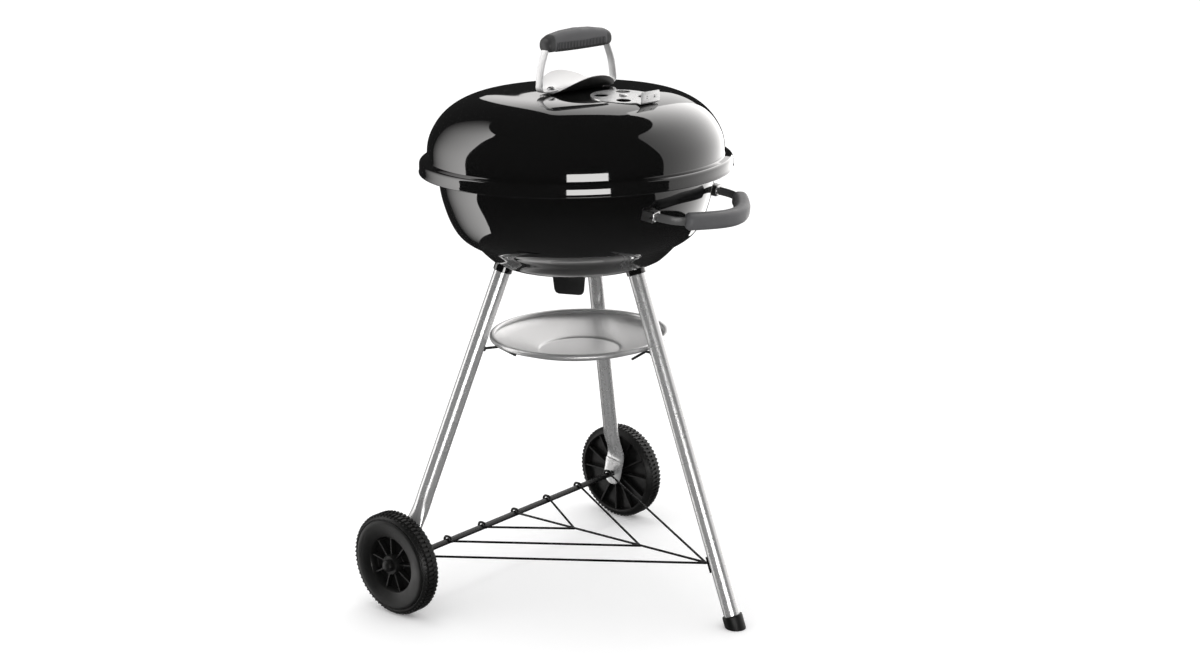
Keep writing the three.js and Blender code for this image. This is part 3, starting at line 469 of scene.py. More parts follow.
# Smudges: roughness that wanders between two values.
def makeSmudges():
    tree, start, end = newGroup("smudges", [
        ("Scale", "NodeSocketFloat", 20.0), ("Low", "NodeSocketFloat", 0.1),
                                            ("High", "NodeSocketFloat", 0.2),
    ], [("Roughness", "NodeSocketFloat"), ("Mask", "NodeSocketFloat")])
    nodes, links = tree.nodes, tree.links
    place = nodes.new("ShaderNodeTexCoord")
    noise = nodes.new("ShaderNodeTexNoise")
    noise.inputs["Detail"].default_value = 5
    noise.inputs["Roughness"].default_value = 0.6
    reach = nodes.new("ShaderNodeMapRange")
    reach.inputs["From Min"].default_value = 0.35
    reach.inputs["From Max"].default_value = 0.68
    links.new(place.outputs["Object"], noise.inputs["Vector"])
    links.new(start.outputs["Scale"], noise.inputs["Scale"])
    links.new(noise.outputs[0], reach.inputs["Value"])
    links.new(start.outputs["Low"], reach.inputs["To Min"])
    links.new(start.outputs["High"], reach.inputs["To Max"])
    links.new(reach.outputs[0], end.inputs["Roughness"])
    links.new(noise.outputs[0], end.inputs["Mask"])
    return tree


# Grain: fine height, stretched as wanted.
def makeGrain():
    tree, start, end = newGroup("grain", [
        ("Vector", "NodeSocketVector", (0, 0, 0)), ("Scale", "NodeSocketFloat", 200.0),
        ("Stretch", "NodeSocketVector", (1, 1, 1)),
    ], [("Height", "NodeSocketFloat")])
    nodes, links = tree.nodes, tree.links
    spread = nodes.new("ShaderNodeVectorMath")
    spread.operation = "MULTIPLY"
    noise = nodes.new("ShaderNodeTexNoise")
    noise.inputs["Detail"].default_value = 3
    links.new(start.outputs["Vector"], spread.inputs[0])
    links.new(start.outputs["Stretch"], spread.inputs[1])
    links.new(spread.outputs[0], noise.inputs["Vector"])
    links.new(start.outputs["Scale"], noise.inputs["Scale"])
    links.new(noise.outputs[0], end.inputs["Height"])
    return tree


# Dust that settles on what faces up.
def makeDust():
    tree, start, end = newGroup("settled dust", [
        ("Amount", "NodeSocketFloat", 0.1), ("Scale", "NodeSocketFloat", 35.0),
    ], [("Mask", "NodeSocketFloat")])
    nodes, links = tree.nodes, tree.links
    shape = nodes.new("ShaderNodeNewGeometry")
    split = nodes.new("ShaderNodeSeparateXYZ")
    up = nodes.new("ShaderNodeMapRange")
    up.inputs["From Min"].default_value = 0.3
    place = nodes.new("ShaderNodeTexCoord")
    noise = nodes.new("ShaderNodeTexNoise")
    noise.inputs["Detail"].default_value = 8
    patch = nodes.new("ShaderNodeMath")
    patch.operation = "MULTIPLY"
    amount = nodes.new("ShaderNodeMath")
    amount.operation = "MULTIPLY"
    links.new(shape.outputs["Normal"], split.inputs[0])
    links.new(split.outputs["Z"], up.inputs["Value"])
    links.new(place.outputs["Object"], noise.inputs["Vector"])
    links.new(start.outputs["Scale"], noise.inputs["Scale"])
    links.new(up.outputs[0], patch.inputs[0])
    links.new(noise.outputs[0], patch.inputs[1])
    links.new(patch.outputs[0], amount.inputs[0])
    links.new(start.outputs["Amount"], amount.inputs[1])
    links.new(amount.outputs[0], end.inputs["Mask"])
    return tree


# Turned rings round the piece's own centre, which a Mapping node sets.
def makeRings():
    tree, start, end = newGroup("turned rings", [
        ("Vector", "NodeSocketVector", (0, 0, 0)), ("Spacing", "NodeSocketFloat", 0.0008),
    ], [("Height", "NodeSocketFloat")])
    nodes, links = tree.nodes, tree.links
    flat = nodes.new("ShaderNodeVectorMath")
    flat.operation = "MULTIPLY"
    flat.inputs[1].default_value = (1, 1, 0)
    reach = nodes.new("ShaderNodeVectorMath")
    reach.operation = "LENGTH"
    count = nodes.new("ShaderNodeMath")
    count.operation = "DIVIDE"
    noise = nodes.new("ShaderNodeTexNoise")
    noise.noise_dimensions = "1D"
    noise.inputs["Scale"].default_value = 1
    noise.inputs["Detail"].default_value = 3
    links.new(start.outputs["Vector"], flat.inputs[0])
    links.new(flat.outputs[0], reach.inputs[0])
    links.new(reach.outputs["Value"], count.inputs[0])
    links.new(start.outputs["Spacing"], count.inputs[1])
    links.new(count.outputs[0], noise.inputs["W"])
    links.new(noise.outputs[0], end.inputs["Height"])
    return tree


smudges, grain, dust, rings = makeSmudges(), makeGrain(), makeDust(), makeRings()


def groupNode(nodes, tree, **values):
    node = nodes.new("ShaderNodeGroup")
    node.node_tree = tree
    for label, value in values.items():
        node.inputs[label].default_value = value
    return node


def makeFinish(name, look):
    made = bpy.data.materials.new(name)
    made.use_nodes = True
    nodes, links = made.node_tree.nodes, made.node_tree.links
    shader = nodes["Principled BSDF"]
    shader.inputs["Metallic"].default_value = look.get("metal", 0.0)
    shader.inputs["IOR"].default_value = look.get("ior", 1.5)
    shader.inputs["Coat Weight"].default_value = look.get("coat", 0.0)
    shader.inputs["Coat Roughness"].default_value = look.get("coatRough", 0.03)
    smudge = groupNode(nodes, smudges, Scale=look["smudgeScale"], Low=look["low"],
                       High=look["high"])
    links.new(smudge.outputs["Roughness"], shader.inputs["Roughness"])
    tone = nodes.new("ShaderNodeMix")
    tone.data_type = "RGBA"
    tone.inputs[6].default_value = (*look["colour"], 1)
    tone.inputs[7].default_value = (*look["second"], 1)
    place = nodes.new("ShaderNodeTexCoord")
    centre = nodes.new("ShaderNodeMapping")  # turns the pattern along the piece, or centres it
    centre.inputs["Location"].default_value = [-v for v in look.get("rings", (0, 0, 0))]
    if "along" in look:
        centre.inputs["Rotation"].default_value = look["along"].rotation_difference(Vector((0, 0,
                                                                                            1))).to_euler()
    links.new(place.outputs["Object"], centre.inputs["Vector"])
    # Painted reflection: light and dark streaks in the colour along the grain stand in for the surroundings the
    # polished metal mirrors.
    if "reflectionStreaks" in look:
        paintedStreaks = groupNode(nodes, grain, Scale=look["reflectionStreaks"], Stretch=look["stretch"])
        links.new(centre.outputs["Vector"], paintedStreaks.inputs["Vector"])
        links.new(paintedStreaks.outputs["Height"], tone.inputs[0])
    else:
        links.new(smudge.outputs["Mask"], tone.inputs[0])
    powder = groupNode(nodes, dust, Amount=look.get("dust", 0.05))
    dusty = nodes.new("ShaderNodeMix")
    dusty.data_type = "RGBA"
    dusty.inputs[7].default_value = (*look.get("dustColour", (0.5, 0.48, 0.45)), 1)
    links.new(powder.outputs["Mask"], dusty.inputs[0])
    links.new(tone.outputs[2], dusty.inputs[6])
    links.new(dusty.outputs[2], shader.inputs["Base Color"])
    if "rings" in look:
        height = groupNode(nodes, rings, Spacing=look["spacing"])
    else:
        height = groupNode(nodes, grain, Scale=look["grain"],
                           Stretch=look.get("stretch", (1, 1, 1)))
    links.new(centre.outputs["Vector"], height.inputs["Vector"])
    bump = nodes.new("ShaderNodeBump")
    bump.inputs["Strength"].default_value = look["bump"]
    bump.inputs["Distance"].default_value = look["depth"]
    links.new(height.outputs["Height"], bump.inputs["Height"])
    links.new(bump.outputs["Normal"], shader.inputs["Normal"])
    return made


def sameAll(v):
    return (v, v, v)


ventMiddle = (103 * math.sin(kettle["lidTurn"]) / 1000,
              (kettle["y"] - 103 * math.cos(kettle["lidTurn"])) / 1000, 0)
looks = {
    "black enamel": dict(colour=sameAll(0.003), second=sameAll(0.005), smudgeScale=9, low=0.035,
                         high=0.07,
                         coat=1.0, coatRough=0.02, dust=0.002, grain=60, bump=0.04, depth=0.0004),
    "satin enamel": dict(colour=sameAll(0.012), second=sameAll(0.02), smudgeScale=25, low=0.28,
                         high=0.42,
                         dust=0.02, grain=900, bump=0.15, depth=0.0002),
    # Its colour streaks from 0.42 to 1.0: painted reflection on the tubes and rivets.
    "polished tube": dict(colour=sameAll(0.42), second=sameAll(1.0), smudgeScale=30, low=0.24,
                          high=0.3,
                          metal=0.7, dust=0.0, reflectionStreaks=210, grain=500, stretch=(1, 1, 0.001),
                          bump=0.1,
                          depth=0.0002),
    "spun aluminium": dict(colour=sameAll(0.66), second=sameAll(0.82), smudgeScale=14, low=0.34,
                           high=0.44,
                           metal=0.8, dust=0.0, rings=(0, kettle["y"] / 1000, 0), spacing=0.0011,
                           bump=0.12, depth=0.0002),
    "brushed damper": dict(colour=sameAll(0.66), second=sameAll(0.8), smudgeScale=30, low=0.24,
                           high=0.32,
                           metal=0.8, dust=0.0, rings=ventMiddle, spacing=0.0006, bump=0.2,
                           depth=0.0002),
    "strap metal": dict(colour=sameAll(0.86), second=sameAll(0.95), smudgeScale=40, low=0.42,
                        high=0.52,
                        metal=0.7, dust=0.0, grain=600, stretch=(1, 1, 0.05), bump=0.12,
                        depth=0.0002),
    "zinc plate": dict(colour=sameAll(0.5), second=sameAll(0.66), smudgeScale=160, low=0.25,
                       high=0.42,
                       metal=1.0, dust=0.0, grain=700, bump=0.15, depth=0.0002),
    "shield sheet": dict(colour=sameAll(0.62), second=sameAll(0.7), smudgeScale=30, low=0.32,
                         high=0.42,
                         metal=1.0, dust=0.0, grain=800, stretch=(0.04, 1, 1), bump=0.15,
                         depth=0.0002),
    "wire enamel": dict(colour=sameAll(0.004), second=sameAll(0.008), smudgeScale=60, low=0.2,
                        high=0.32,
                        dust=0.0, grain=900, bump=0.1, depth=0.0002),
    # Painted reflection: the same plated sheet as above, made darker to stand in for the black lid it mirrors
    # from below.
    "shield underside": dict(colour=sameAll(0.2), second=sameAll(0.3), smudgeScale=30, low=0.3,
                             high=0.4,
                             metal=1.0, dust=0.0, grain=800, stretch=(0.04, 1, 1), bump=0.15,
                             depth=0.0002),
    # Painted sheen: the bow's black coating is made grey to stand in for the light it reflects.
    "strap coating": dict(colour=sameAll(0.06), second=sameAll(0.09), smudgeScale=60, low=0.3,
                          high=0.42,
                          dust=0.0, grain=1400, bump=0.2, depth=0.0002),
    "black coating": dict(colour=sameAll(0.008), second=sameAll(0.014), smudgeScale=60, low=0.3,
                          high=0.42,
                          dust=0.02, grain=1400, bump=0.2, depth=0.0002),
    "grip nylon": dict(colour=(0.07, 0.07, 0.073), second=(0.1, 0.1, 0.104), smudgeScale=50,
                       low=0.42,
                       high=0.56, dust=0.04, grain=1600, bump=0.35, depth=0.0003),
    # Darker nylon for the grip's end caps, and also painted shade on the underside under and between the ribs.
    "grip end nylon": dict(colour=(0.03, 0.03, 0.031), second=(0.045, 0.045, 0.046), smudgeScale=50,
                           low=0.42, high=0.56, dust=0.03, grain=1600, bump=0.35, depth=0.0003),
    "wheel plastic": dict(colour=(0.004, 0.004, 0.0038), second=(0.008, 0.008, 0.0076),
                          smudgeScale=24,
                          ior=1.42, low=0.36, high=0.5, dust=0.012, grain=1100, bump=0.3,
                          depth=0.0003),
}
finish = {name: makeFinish(name, look) for name, look in looks.items()}


# The tube finish with painted reflection streaks along one leg.
def tubeFinish(word, top, low):
    look = dict(looks["polished tube"], along=(Vector(top) - Vector(low)).normalized())
    return makeFinish("polished tube " + word, look)


print("finishes ready")


# ---- lid ----
lidShape = {
    "dome": [(229, 2), (228.3, 18), (225, 33), (217.9, 48), (207, 63.2), (191, 77.3), (170, 88.6),
             (148, 95.5), (90, 100.1), (45, 102.1), (0, 102.8)],
    "sheet": 1.5,
    "sides": 192,
    "crownRadius": 1500,
    "ventReach": 103,
    "ventHole": 22,
    "ventCircle": 33,
}
rim = kettle["radius"]


def crownAt(x, y):
    return kettle["crown"] - (x * x + y * y) / (2 * lidShape["crownRadius"])


def inward(line, distance):
    out = []
    for i, (r, z) in enumerate(line):
        a, b = line[max(i - 1, 0)], line[min(i + 1, len(line) - 1)]
        length = math.hypot(b[0] - a[0], b[1] - a[1])
        out.append((r - (b[1] - a[1]) / length * distance, z + (b[0] - a[0]) / length * distance))
    return out


def makeLid():
    half = lidShape["dome"]
    whole = half + [(-r, z) for r, z in half[:-1][::-1]]
    dome = splineThrough(whole, 139)[:70]
    dome[-1] = (0, half[-1][1])
    band = arc((rim - 0.6, -18.2), 1.6, 180, 360, 9)
    band += [(rim + 0.6, -17.0), (rim + 0.2, -15.6), (rim + 0.1, -14.6), (rim + 0.08, -13.6),
             (rim, -8.0),
             (rim - 0.05, -7.0)]
    band += arc((rim - 5.6, -5.4), 5.4, 6, 84, 10)
    band += [(231.5, 0.5)]
    inner = inward(dome, lidShape["sheet"])
    inner[-1] = (0, half[-1][1] - lidShape["sheet"])
    under = [(231, -1.4), (rim - 3.6, -1.9), (rim - 2.2, -3.6), (rim - 2.2, -17.5)]
    profile = [(r, z + seam) for r, z in band + dome + inner[::-1] + under]
    lid = lathe("lid_shell", profile, lidShape["sides"], finish["black enamel"],
                turn=kettle["lidTurn"])
    tools = []
    for i in range(4):
        a = math.pi / 4 + i * math.pi / 2
        x, y = lidShape["ventCircle"] * math.cos(a), lidShape["ventCircle"] * math.sin(a) - lidShape["ventReach"]
        tools.append(rodBetween("tool", (x, y, seam + 70), (x, y, seam + 120),
                                lidShape["ventHole"] / 2,
                                None, 40, kettle["lidTurn"]))
    trim(lid, tools)
    settle(lid, "lid_assembly", "enamel", "lid")


makeLid()
print("lid done")

damperShape = {"radius": 49, "sheet": 1.5, "lift": 0.35, "tabWidth": 39, "tabHeight": 17.5,
               "tabReach": 56.2}


def makeDamper():
    reach = lidShape["ventReach"]
    steps = [damperShape["radius"] * i / 12 for i in range(13)]
    top = damperShape["sheet"] + damperShape["lift"]
    profile = [(r, damperShape["lift"]) for r in steps]
    profile += [(steps[-1] + 0.25, damperShape["lift"] + 0.4), (steps[-1] + 0.1, top - 0.25)]
    profile += [(r, top) for r in steps[::-1]]
    disc = lathe("damper_disc", profile, 96, finish["brushed damper"])
    for v in disc.data.vertices:
        x, y = v.co.x * 1000, v.co.y * 1000 - kettle["y"]
        v.co.z += crownAt(x, y - reach) / 1000
    disc.data.transform(Matrix.Translation((0, -reach / 1000, 0)))
    tools = []
    for i in range(4):
        a = math.pi / 4 + i * math.pi / 2
        x, y = lidShape["ventCircle"] * math.cos(a), lidShape["ventCircle"] * math.sin(a) - reach
        tools.append(rodBetween("tool", (x, y, seam + 70), (x, y, seam + 130),
                                lidShape["ventHole"] / 2, None, 48))
    trim(disc, tools)
    y0, y1 = -reach - 42, -reach - damperShape["tabReach"]
    z0, z1 = crownAt(0, y0) + top - 0.75, crownAt(0, y1) + top - 0.6
    path = [(y0, z0), (y1 + 3, z1)] + [(y1 + 3 - 2.6 * math.sin(a), z1 + 2.6 - 2.6 * math.cos(a))
                                      for a in [i * math.pi / 12 for i in range(1, 7)]]
    path.append((y1 + 0.4, z1 + damperShape["tabHeight"] - 3))
    path.append((y1 + 0.4, z1 + damperShape["tabHeight"]))
    sections = []
    for i, (y, z) in enumerate(path):
        a, b = path[max(i - 1, 0)], path[min(i + 1, len(path) - 1)]
        length = math.hypot(b[0] - a[0], b[1] - a[1])
        n = (-(b[1] - a[1]) / length, (b[0] - a[0]) / length)
        narrow = 2.4 if i == len(path) - 1 else 0
        sections.append([(u, y + n[0] * v, z + n[1] * v)
                         for u, v in roundedSection(damperShape["tabWidth"] - narrow, 1.4, 0.3, 3)])
    tab = loft("damper_tab", sections, finish["brushed damper"])
    dents = []
    for side in (-1, 1):
        spot = (side * 8, y1 - 1.2, z1 + damperShape["tabHeight"] * 0.52)
        dents.append(rodBetween("tool", spot, (spot[0], spot[1] + 2.2, spot[2]), 2.1, None, 24))
    trim(tab, dents)
    whole = merge("lid_vent_plate", [disc, tab], finish["brushed damper"])
    turnLid(whole)
    settle(whole, "lid_vent", "aluminium", "lid_damper")
    tilt = math.asin(reach / lidShape["crownRadius"])
    place = Matrix.Translation((0, -reach, crownAt(0, reach))) @ Matrix.Rotation(tilt, 4, "X")
    head = [(0, top + 0.4), (6.4, top + 0.4), (6.4, top + 1.2)]
    head += [(6.4 * math.cos(a),
              top + 1.2 + 1.9 * math.sin(a)) for a in [i * math.pi / 14 for i in range(1, 7)]]
    head += [(0, top + 3.1)]
    rivet = lathe("lid_vent_rivet", head, 48, finish["polished tube"], place,
                  turn=kettle["lidTurn"])
    tail = lathe("tail",
                 [(0, -5), (4.6, -5), (5.6, -4), (5.6, -2.2), (3, -2.2), (3, top + 1),
                  (0, top + 1)], 40,
                 finish["polished tube"], place, turn=kettle["lidTurn"])
    rivet = merge("lid_vent_rivet", [rivet, tail], finish["polished tube"])
    settle(rivet, "lid_assembly", "leg_steel", "lid_damper_rivet")


def turnLid(thing):
    middle = Matrix.Translation((0, kettle["y"] / 1000, 0))
    thing.data.transform(middle @ Matrix.Rotation(kettle["lidTurn"], 4, "Z") @ middle.inverted())


makeDamper()

lidHandle = {
    "shift": -5,  # towards the vent
    "boltReach": 54,
    "strapWidth": 14,
    "strapThick": 3,
    "line": [(45, 0), (80, 0), (75.5, 34.2), (61, 70.2), (0, 76.7)],  # half of it, above its foot
    "grip": {"half": 66, "width": 27, "base": 868 - 704, "ribs": 33, "ribStep": 3.1},
    "shield": {"reach": 66, "width": 45.5, "rise": 23, "flat": 12},
}
strapFoot = kettle["crown"] + 0.35 + 1 + 0.35 + 1.5


def filletPath(points, radius, steps=7):
    out = [points[0]]
    for i in range(1, len(points) - 1):
        p, q, r = (Vector(points[i + k]) for k in (-1, 0, 1))
        back = min(radius, (q - p).length * 0.48)
        ahead = min(radius, (r - q).length * 0.48)
        a, b = q + (p - q).normalized() * back, q + (r - q).normalized() * ahead
        for k in range(steps + 1):
            t = k / steps
            out.append(tuple(a * (1 - t) ** 2 + q * 2 * t * (1 - t) + b * t * t))
    out.append(points[-1])
    return out


def makeLidHandle():
    line = [(x, z) for x, z in lidHandle["line"]]
    whole = [(-x, z) for x, z in line] + line[:-1][::-1]
    path = filletPath(whole, 9)
    sections = []
    for i, (x, z) in enumerate(path):
        a, b = path[max(i - 1, 0)], path[min(i + 1, len(path) - 1)]
        length = math.hypot(b[0] - a[0], b[1] - a[1])
        n = (-(b[1] - a[1]) / length, (b[0] - a[0]) / length)
        sections.append([(x + n[0] * v, lidHandle["shift"] + u, strapFoot + z + n[1] * v)
                         for u,
                         v in roundedSection(lidHandle["strapWidth"], lidHandle["strapThick"], 1.0,
                                             4)])
    strap = loft("lid_handle_band", sections, finish["strap metal"], turn=kettle["lidTurn"])
    settle(strap, "lid_assembly", "aluminium", "lid_handle_strap")

    g = lidHandle["grip"]
    base = seam + g["base"]
    lower = [(-66, 0.6), (-60, 0), (-50, 0), (-44, 2.6), (-39, 5), (-22, 5.6), (0, 4.4), (22, 5.6),
             (39, 5),
             (44, 2.6), (50, 0), (60, 0), (66, 0.6)]
    upper = [(-66, 20.5), (-54, 26), (-30, 29.7), (0, 31.2), (30, 29.7), (54, 26), (66, 20.5)]
    sections = []
    count = 61
    for i in range(count):
        s = -1 + 2 * i / (count - 1)
        x = g["half"] * math.sin(s * math.pi / 2) if abs(s) > 0.8 else g["half"] * s * 0.951 / 0.8
        edge = max(0.0, (abs(x) - (g["half"] - 3.5)) / 3.5)
        shrink = 1 - 0.3 * edge ** 2.4
        low = float(np.interp(x, *zip(*lower))) + (1 - shrink) * 6
        high = float(np.interp(x, *zip(*upper))) - (1 - shrink) * 9
        width = g["width"] * (0.96 + 0.04 * math.cos(x / g["half"] * math.pi)) * (0.55 + 0.45 * shrink)
        corner = min(8.5, (high - low) * 0.42)
        ring = roundedSection(width, high - low, corner, 7)
        sections.append([(x, lidHandle["shift"] + u, base + (low + high) / 2 + v) for u, v in ring])
    grip = loft("grip_body", sections, finish["grip nylon"], 50)
    rib = localMesh("rib", *ribShape(g["width"] + 1.3, 14, 1.6))
    ribs = useTree(rib, rowTree,
                   {"Count": g["ribs"], "Step": (g["ribStep"] / 1000, 0, 0), "Sag": 0.0006,
                                  "Finish": finish["grip nylon"]})
    shift(ribs,
          Matrix.Translation((0, (lidHandle["shift"] + kettle["y"]) / 1000, (base + 6.6) / 1000)))
    whole = merge("lid_handle_grip", [grip, ribs], finish["grip nylon"], 50)
    whole.data.materials.append(finish["grip end nylon"])
    for face in whole.data.polygons:
        x, y, z = (v * 1000 for v in face.center)
        # Faces under and between the ribs take the darker nylon as painted shade; faces past the ends take it as
        # the end caps' own colour.
        between = abs(x) < 50 and z < base + 13.4 and abs(y - kettle["y"] - lidHandle["shift"]) < 13.9
        face.material_index = 1 if abs(x) > 55 or between else 0
    turnLid(whole)
    settle(whole, "lid_assembly", "grip_plastic", "lid_grip")

    s = lidHandle["shield"]
    rows, columns = 40, 36
    points, faces = [], []
    for i in range(rows + 1):
        x = s["reach"] * math.sin((-1 + 2 * i / rows) * math.pi / 2 * 0.985)
        wide = s["width"] * math.sqrt(1 - (x / (s["reach"] + 0.02)) ** 2)
        for j in range(columns + 1):
            y = wide * (-1 + 2 * j / columns)
            over = max(0.0, abs(y) - s["flat"]) / (s["width"] - s["flat"])
            points.append((x, y + lidHandle["shift"],
                           kettle["crown"] + 0.9 + s["rise"] * over ** 1.55))
    for i in range(rows):
        for j in range(columns):
            k = i * (columns + 1) + j
            faces.append([k, k + columns + 1, k + columns + 2, k + 1])
    shield = newMesh("lid_heat_shield", points, faces, finish["shield sheet"], kettle["lidTurn"],
                     60)
    wall = shield.modifiers.new("wall", "SOLIDIFY")
    wall.thickness = 0.001
    wall.offset = 0
    bake(shield, 50)
    # Faces that look down take the darker copy of the sheet: painted reflection of the black lid, the metal is
    # the same.
    shield.data.materials.append(finish["shield underside"])
    for face in shield.data.polygons:
        face.material_index = 1 if face.normal.z < -0.2 else 0
    settle(shield, "lid_assembly", "plated_steel", "heat_shield")

    for side, word in ((-1, "left"), (1, "right")):
        x, y = side * lidHandle["boltReach"], lidHandle["shift"]
        seat = strapFoot + 1.85
        head = [(0, seat), (6.5, seat), (6.5, seat + 0.9)]
        head += [(6.3 * math.cos(a),
                  seat + 0.9 + 3.4 * math.sin(a)) for a in [i * math.pi / 14 for i in range(1, 7)]]
        head += [(0, seat + 4.3)]
        place = Matrix.Translation((x, y, 0))
        bolt = lathe("lid_bolt_" + word, head, 40, finish["zinc plate"], place,
                     turn=kettle["lidTurn"])
        slots = [blockAt("tool", (7, 1.3, 3), (x, y, seat + 4.4), None, kettle["lidTurn"]),
                 blockAt("tool", (1.3, 7, 3), (x, y, seat + 4.4), None, kettle["lidTurn"])]
        trim(bolt, slots)
        shank = rodBetween("shank", (x, y, kettle["crown"] - 12), (x, y, seat + 1), 3,
                           finish["zinc plate"], 24,
                           kettle["lidTurn"])
        bolt = merge("lid_bolt_" + word, [bolt, shank], finish["zinc plate"])
        settle(bolt, "lid_assembly", "plated_steel", "lid_handle_bolt_" + word)


# One rib: a thin bar across the grip with rounded lower corners.
def ribShape(width, height, thick):
    w, h, t = width / 2, height / 2, thick / 2
    outline = [(-w, h), (-w, -h + 5), (-w + 1.6, -h + 1.4), (-w + 5, -h), (w - 5, -h),
               (w - 1.6, -h + 1.4),
               (w, -h + 5), (w, h)]
    points = [(-t, y, z) for y, z in outline] + [(t, y, z) for y, z in outline]
    n = len(outline)
    faces = [list(range(n)), list(range(n, 2 * n))[::-1]]
    faces += [[i, i + n, (i + 1) % n + n, (i + 1) % n] for i in range(n)]
    return points, faces


makeLidHandle()
print("lid fittings done")


# ---- bowl ----
bowlShape = {
    "wall": [(218, -8), (214.6, -16), (211, -44), (206, -69), (195, -100), (179, -122.5),
             (169, -129.5)],
    "waist": [(169, -129.5), (160, -134.3), (147, -146.6), (134, -158.6)],
    "base": [(134, -158.6), (122, -164.2), (110, -168), (86, -172.2), (62, -174)],
    "rim": 237.5,
    "sheet": 1.5,
    "sides": 192,
}


def bowlOutside():
    line = splineThrough(bowlShape["wall"], 34)
    line += splineThrough(bowlShape["waist"], 12)[1:]
    line += splineThrough(bowlShape["base"], 14)[1:]
    return line


def makeBowl():
    outside = bowlOutside()
    inside = inward(outside, -bowlShape["sheet"])
    inside = [(max(r, 0), z) for r, z in inside]
    rim = bowlShape["rim"]
    lip = arc((rim - 2.3, -4.1), 2.3, -90, 180, 12)
    profile = [(0, -174)] + outside[::-1] + [(224, -6.6)] + lip
    profile += [(rim - 4.4, -5.2), (221, -5.2)] + inside + [(0, -174 + bowlShape["sheet"])]
    profile = [(r, z + seam) for r, z in profile]
    bowl = lathe("bowl_shell", profile, bowlShape["sides"], finish["black enamel"])
    tools = []
    for i in range(4):
        a = math.pi / 4 + i * math.pi / 2
        x, y = 33 * math.cos(a), 33 * math.sin(a)
        tools.append(rodBetween("tool", (x, y, seam - 180), (x, y, seam - 165), 11, None, 40))
    trim(bowl, tools)
    settle(bowl, "cart", "enamel", "bowl")


# A solid of all the space the bowl takes, to cut what stands against it.
def bowlSpace(gap):
    line = inward(bowlOutside(), gap)
    profile = [(0, line[-1][1])] + line[::-1] + [(line[0][0], 60), (0, 60)]
    return lathe("tool", [(r, z + seam) for r, z in profile], 128, None)


makeBowl()

bowlVent = {"radius": 58, "sheet": 1.5, "tabReach": 42, "tabDrop": 37, "tabTurn": -1.22}


def makeBowlVent():
    top = kettle["floor"] - 0.35
    sheet = bowlVent["sheet"]
    r = bowlVent["radius"]
    disc = lathe("vent_disc", [(0, top), (r - 0.3, top), (r, top - 0.3), (r, top - sheet + 0.3),
                               (r - 0.3, top - sheet), (0, top - sheet)], 96,
                 finish["satin enamel"])
    tools = []
    for i in range(4):
        a = math.pi / 4 + i * math.pi / 2
        x, y = 33 * math.cos(a), 33 * math.sin(a)
        tools.append(rodBetween("tool", (x, y, top - 5), (x, y, top + 5), 11, None, 40))
    trim(disc, tools)
    outline = filletPath([(0, 0), (28, 0), (24, -bowlVent["tabDrop"]), (-24, -bowlVent["tabDrop"]),
                          (-28, 0),
                          (0, 0)], 9)[:-1]
    n = len(outline)
    y = -bowlVent["tabReach"]
    points = [(x, y - sheet / 2, z + top - 0.4) for x, z in outline]
    points += [(x, y + sheet / 2, z + top - 0.4) for x, z in outline]
    faces = [list(range(n)), list(range(n, 2 * n))[::-1]]
    faces += [[i, i + n, (i + 1) % n + n, (i + 1) % n] for i in range(n)]
    place = Matrix.Rotation(bowlVent["tabTurn"], 4, "Z")
    tab = newMesh("vent_tab", [tuple(place @ Vector(p)) for p in points], faces,
                  finish["satin enamel"])
    bevel(tab, 0.5, 2)
    whole = merge("bowl_vent_plate", [disc, tab], finish["satin enamel"])
    settle(whole, "bowl_vent", "vent_enamel", "bowl_damper")


makeBowlVent()

bowlHandle = {
    "turn": 0.2,
    "tilt": -0.15,
    "reach": 181,
    "height": 645.5,
    "line": [(106, 6), (106, 17), (104, 34), (93, 51), (73, 65), (48, 79), (23, 89), (0, 92)],
    "thick": 3,
    "width": 12.5,
    "gripThick": 23.4,
    "gripHeight": 25.4,
    "gripEnd": 93,
}


def makeBowlHandle():
    place = (Matrix.Rotation(math.pi + bowlHandle["turn"], 4, "Z")
             @ Matrix.Translation((0, bowlHandle["reach"], bowlHandle["height"]))
             @ Matrix.Rotation(bowlHandle["tilt"], 4, "X"))
    half = bowlHandle["line"]
    path = splineThrough(half + [(-x, y) for x, y in half[:-1][::-1]], 121)

    def alongPath(spots, shapeAt):
        sections = []
        for i in spots:
            a, b = path[max(i - 1, 0)], path[min(i + 1, len(path) - 1)]
            length = math.hypot(b[0] - a[0], b[1] - a[1])
            n = ((b[1] - a[1]) / length, -(b[0] - a[0]) / length)
            x, y = path[i]
            sections.append([tuple(place @ Vector((x + n[0] * u, y + n[1] * u, v))) for u,
                             v in shapeAt(i, x)])
        return sections

    # The bow's grey colour is painted sheen on a black-coated strap.
    bow = loft("handle_bow", alongPath(
        range(len(path)), lambda i, x: roundedSection(bowlHandle["thick"], bowlHandle["width"], 0.9, 3)),
        finish["strap coating"])
    settle(bow, "cart", "black_wire", "bowl_handle_bow")

    held = [i for i, (x, y) in enumerate(path) if abs(x) <= bowlHandle["gripEnd"] and y > 45]
    first, last = held[0], held[-1]

    def gripAt(i, x):
        end = min(i - first, last - i)
        swell = 1 - 0.4 * max(0.0, 1 - end / 2.5) ** 2
        return roundedSection(bowlHandle["gripThick"] * swell, bowlHandle["gripHeight"] * swell,
                              9.2 * swell, 7)

    grip = loft("bowl_grip", alongPath(held, gripAt), finish["grip nylon"], 50)
    settle(grip, "cart", "grip_plastic", "bowl_handle_grip")

    for side, word in ((1, "left"), (-1, "right")):
        block = blockAt("handle_bracket_" + word, (20, 25, 16.5), (side * 106, 0.5, 0),
                        finish["zinc plate"], 0, place)
        bevel(block, 2.6, 4)
        trim(block, [bowlSpace(-0.3)])
        settle(block, "cart", "leg_steel", "bowl_handle_bracket_" + word)


makeBowlHandle()
print("bowl and handle done")


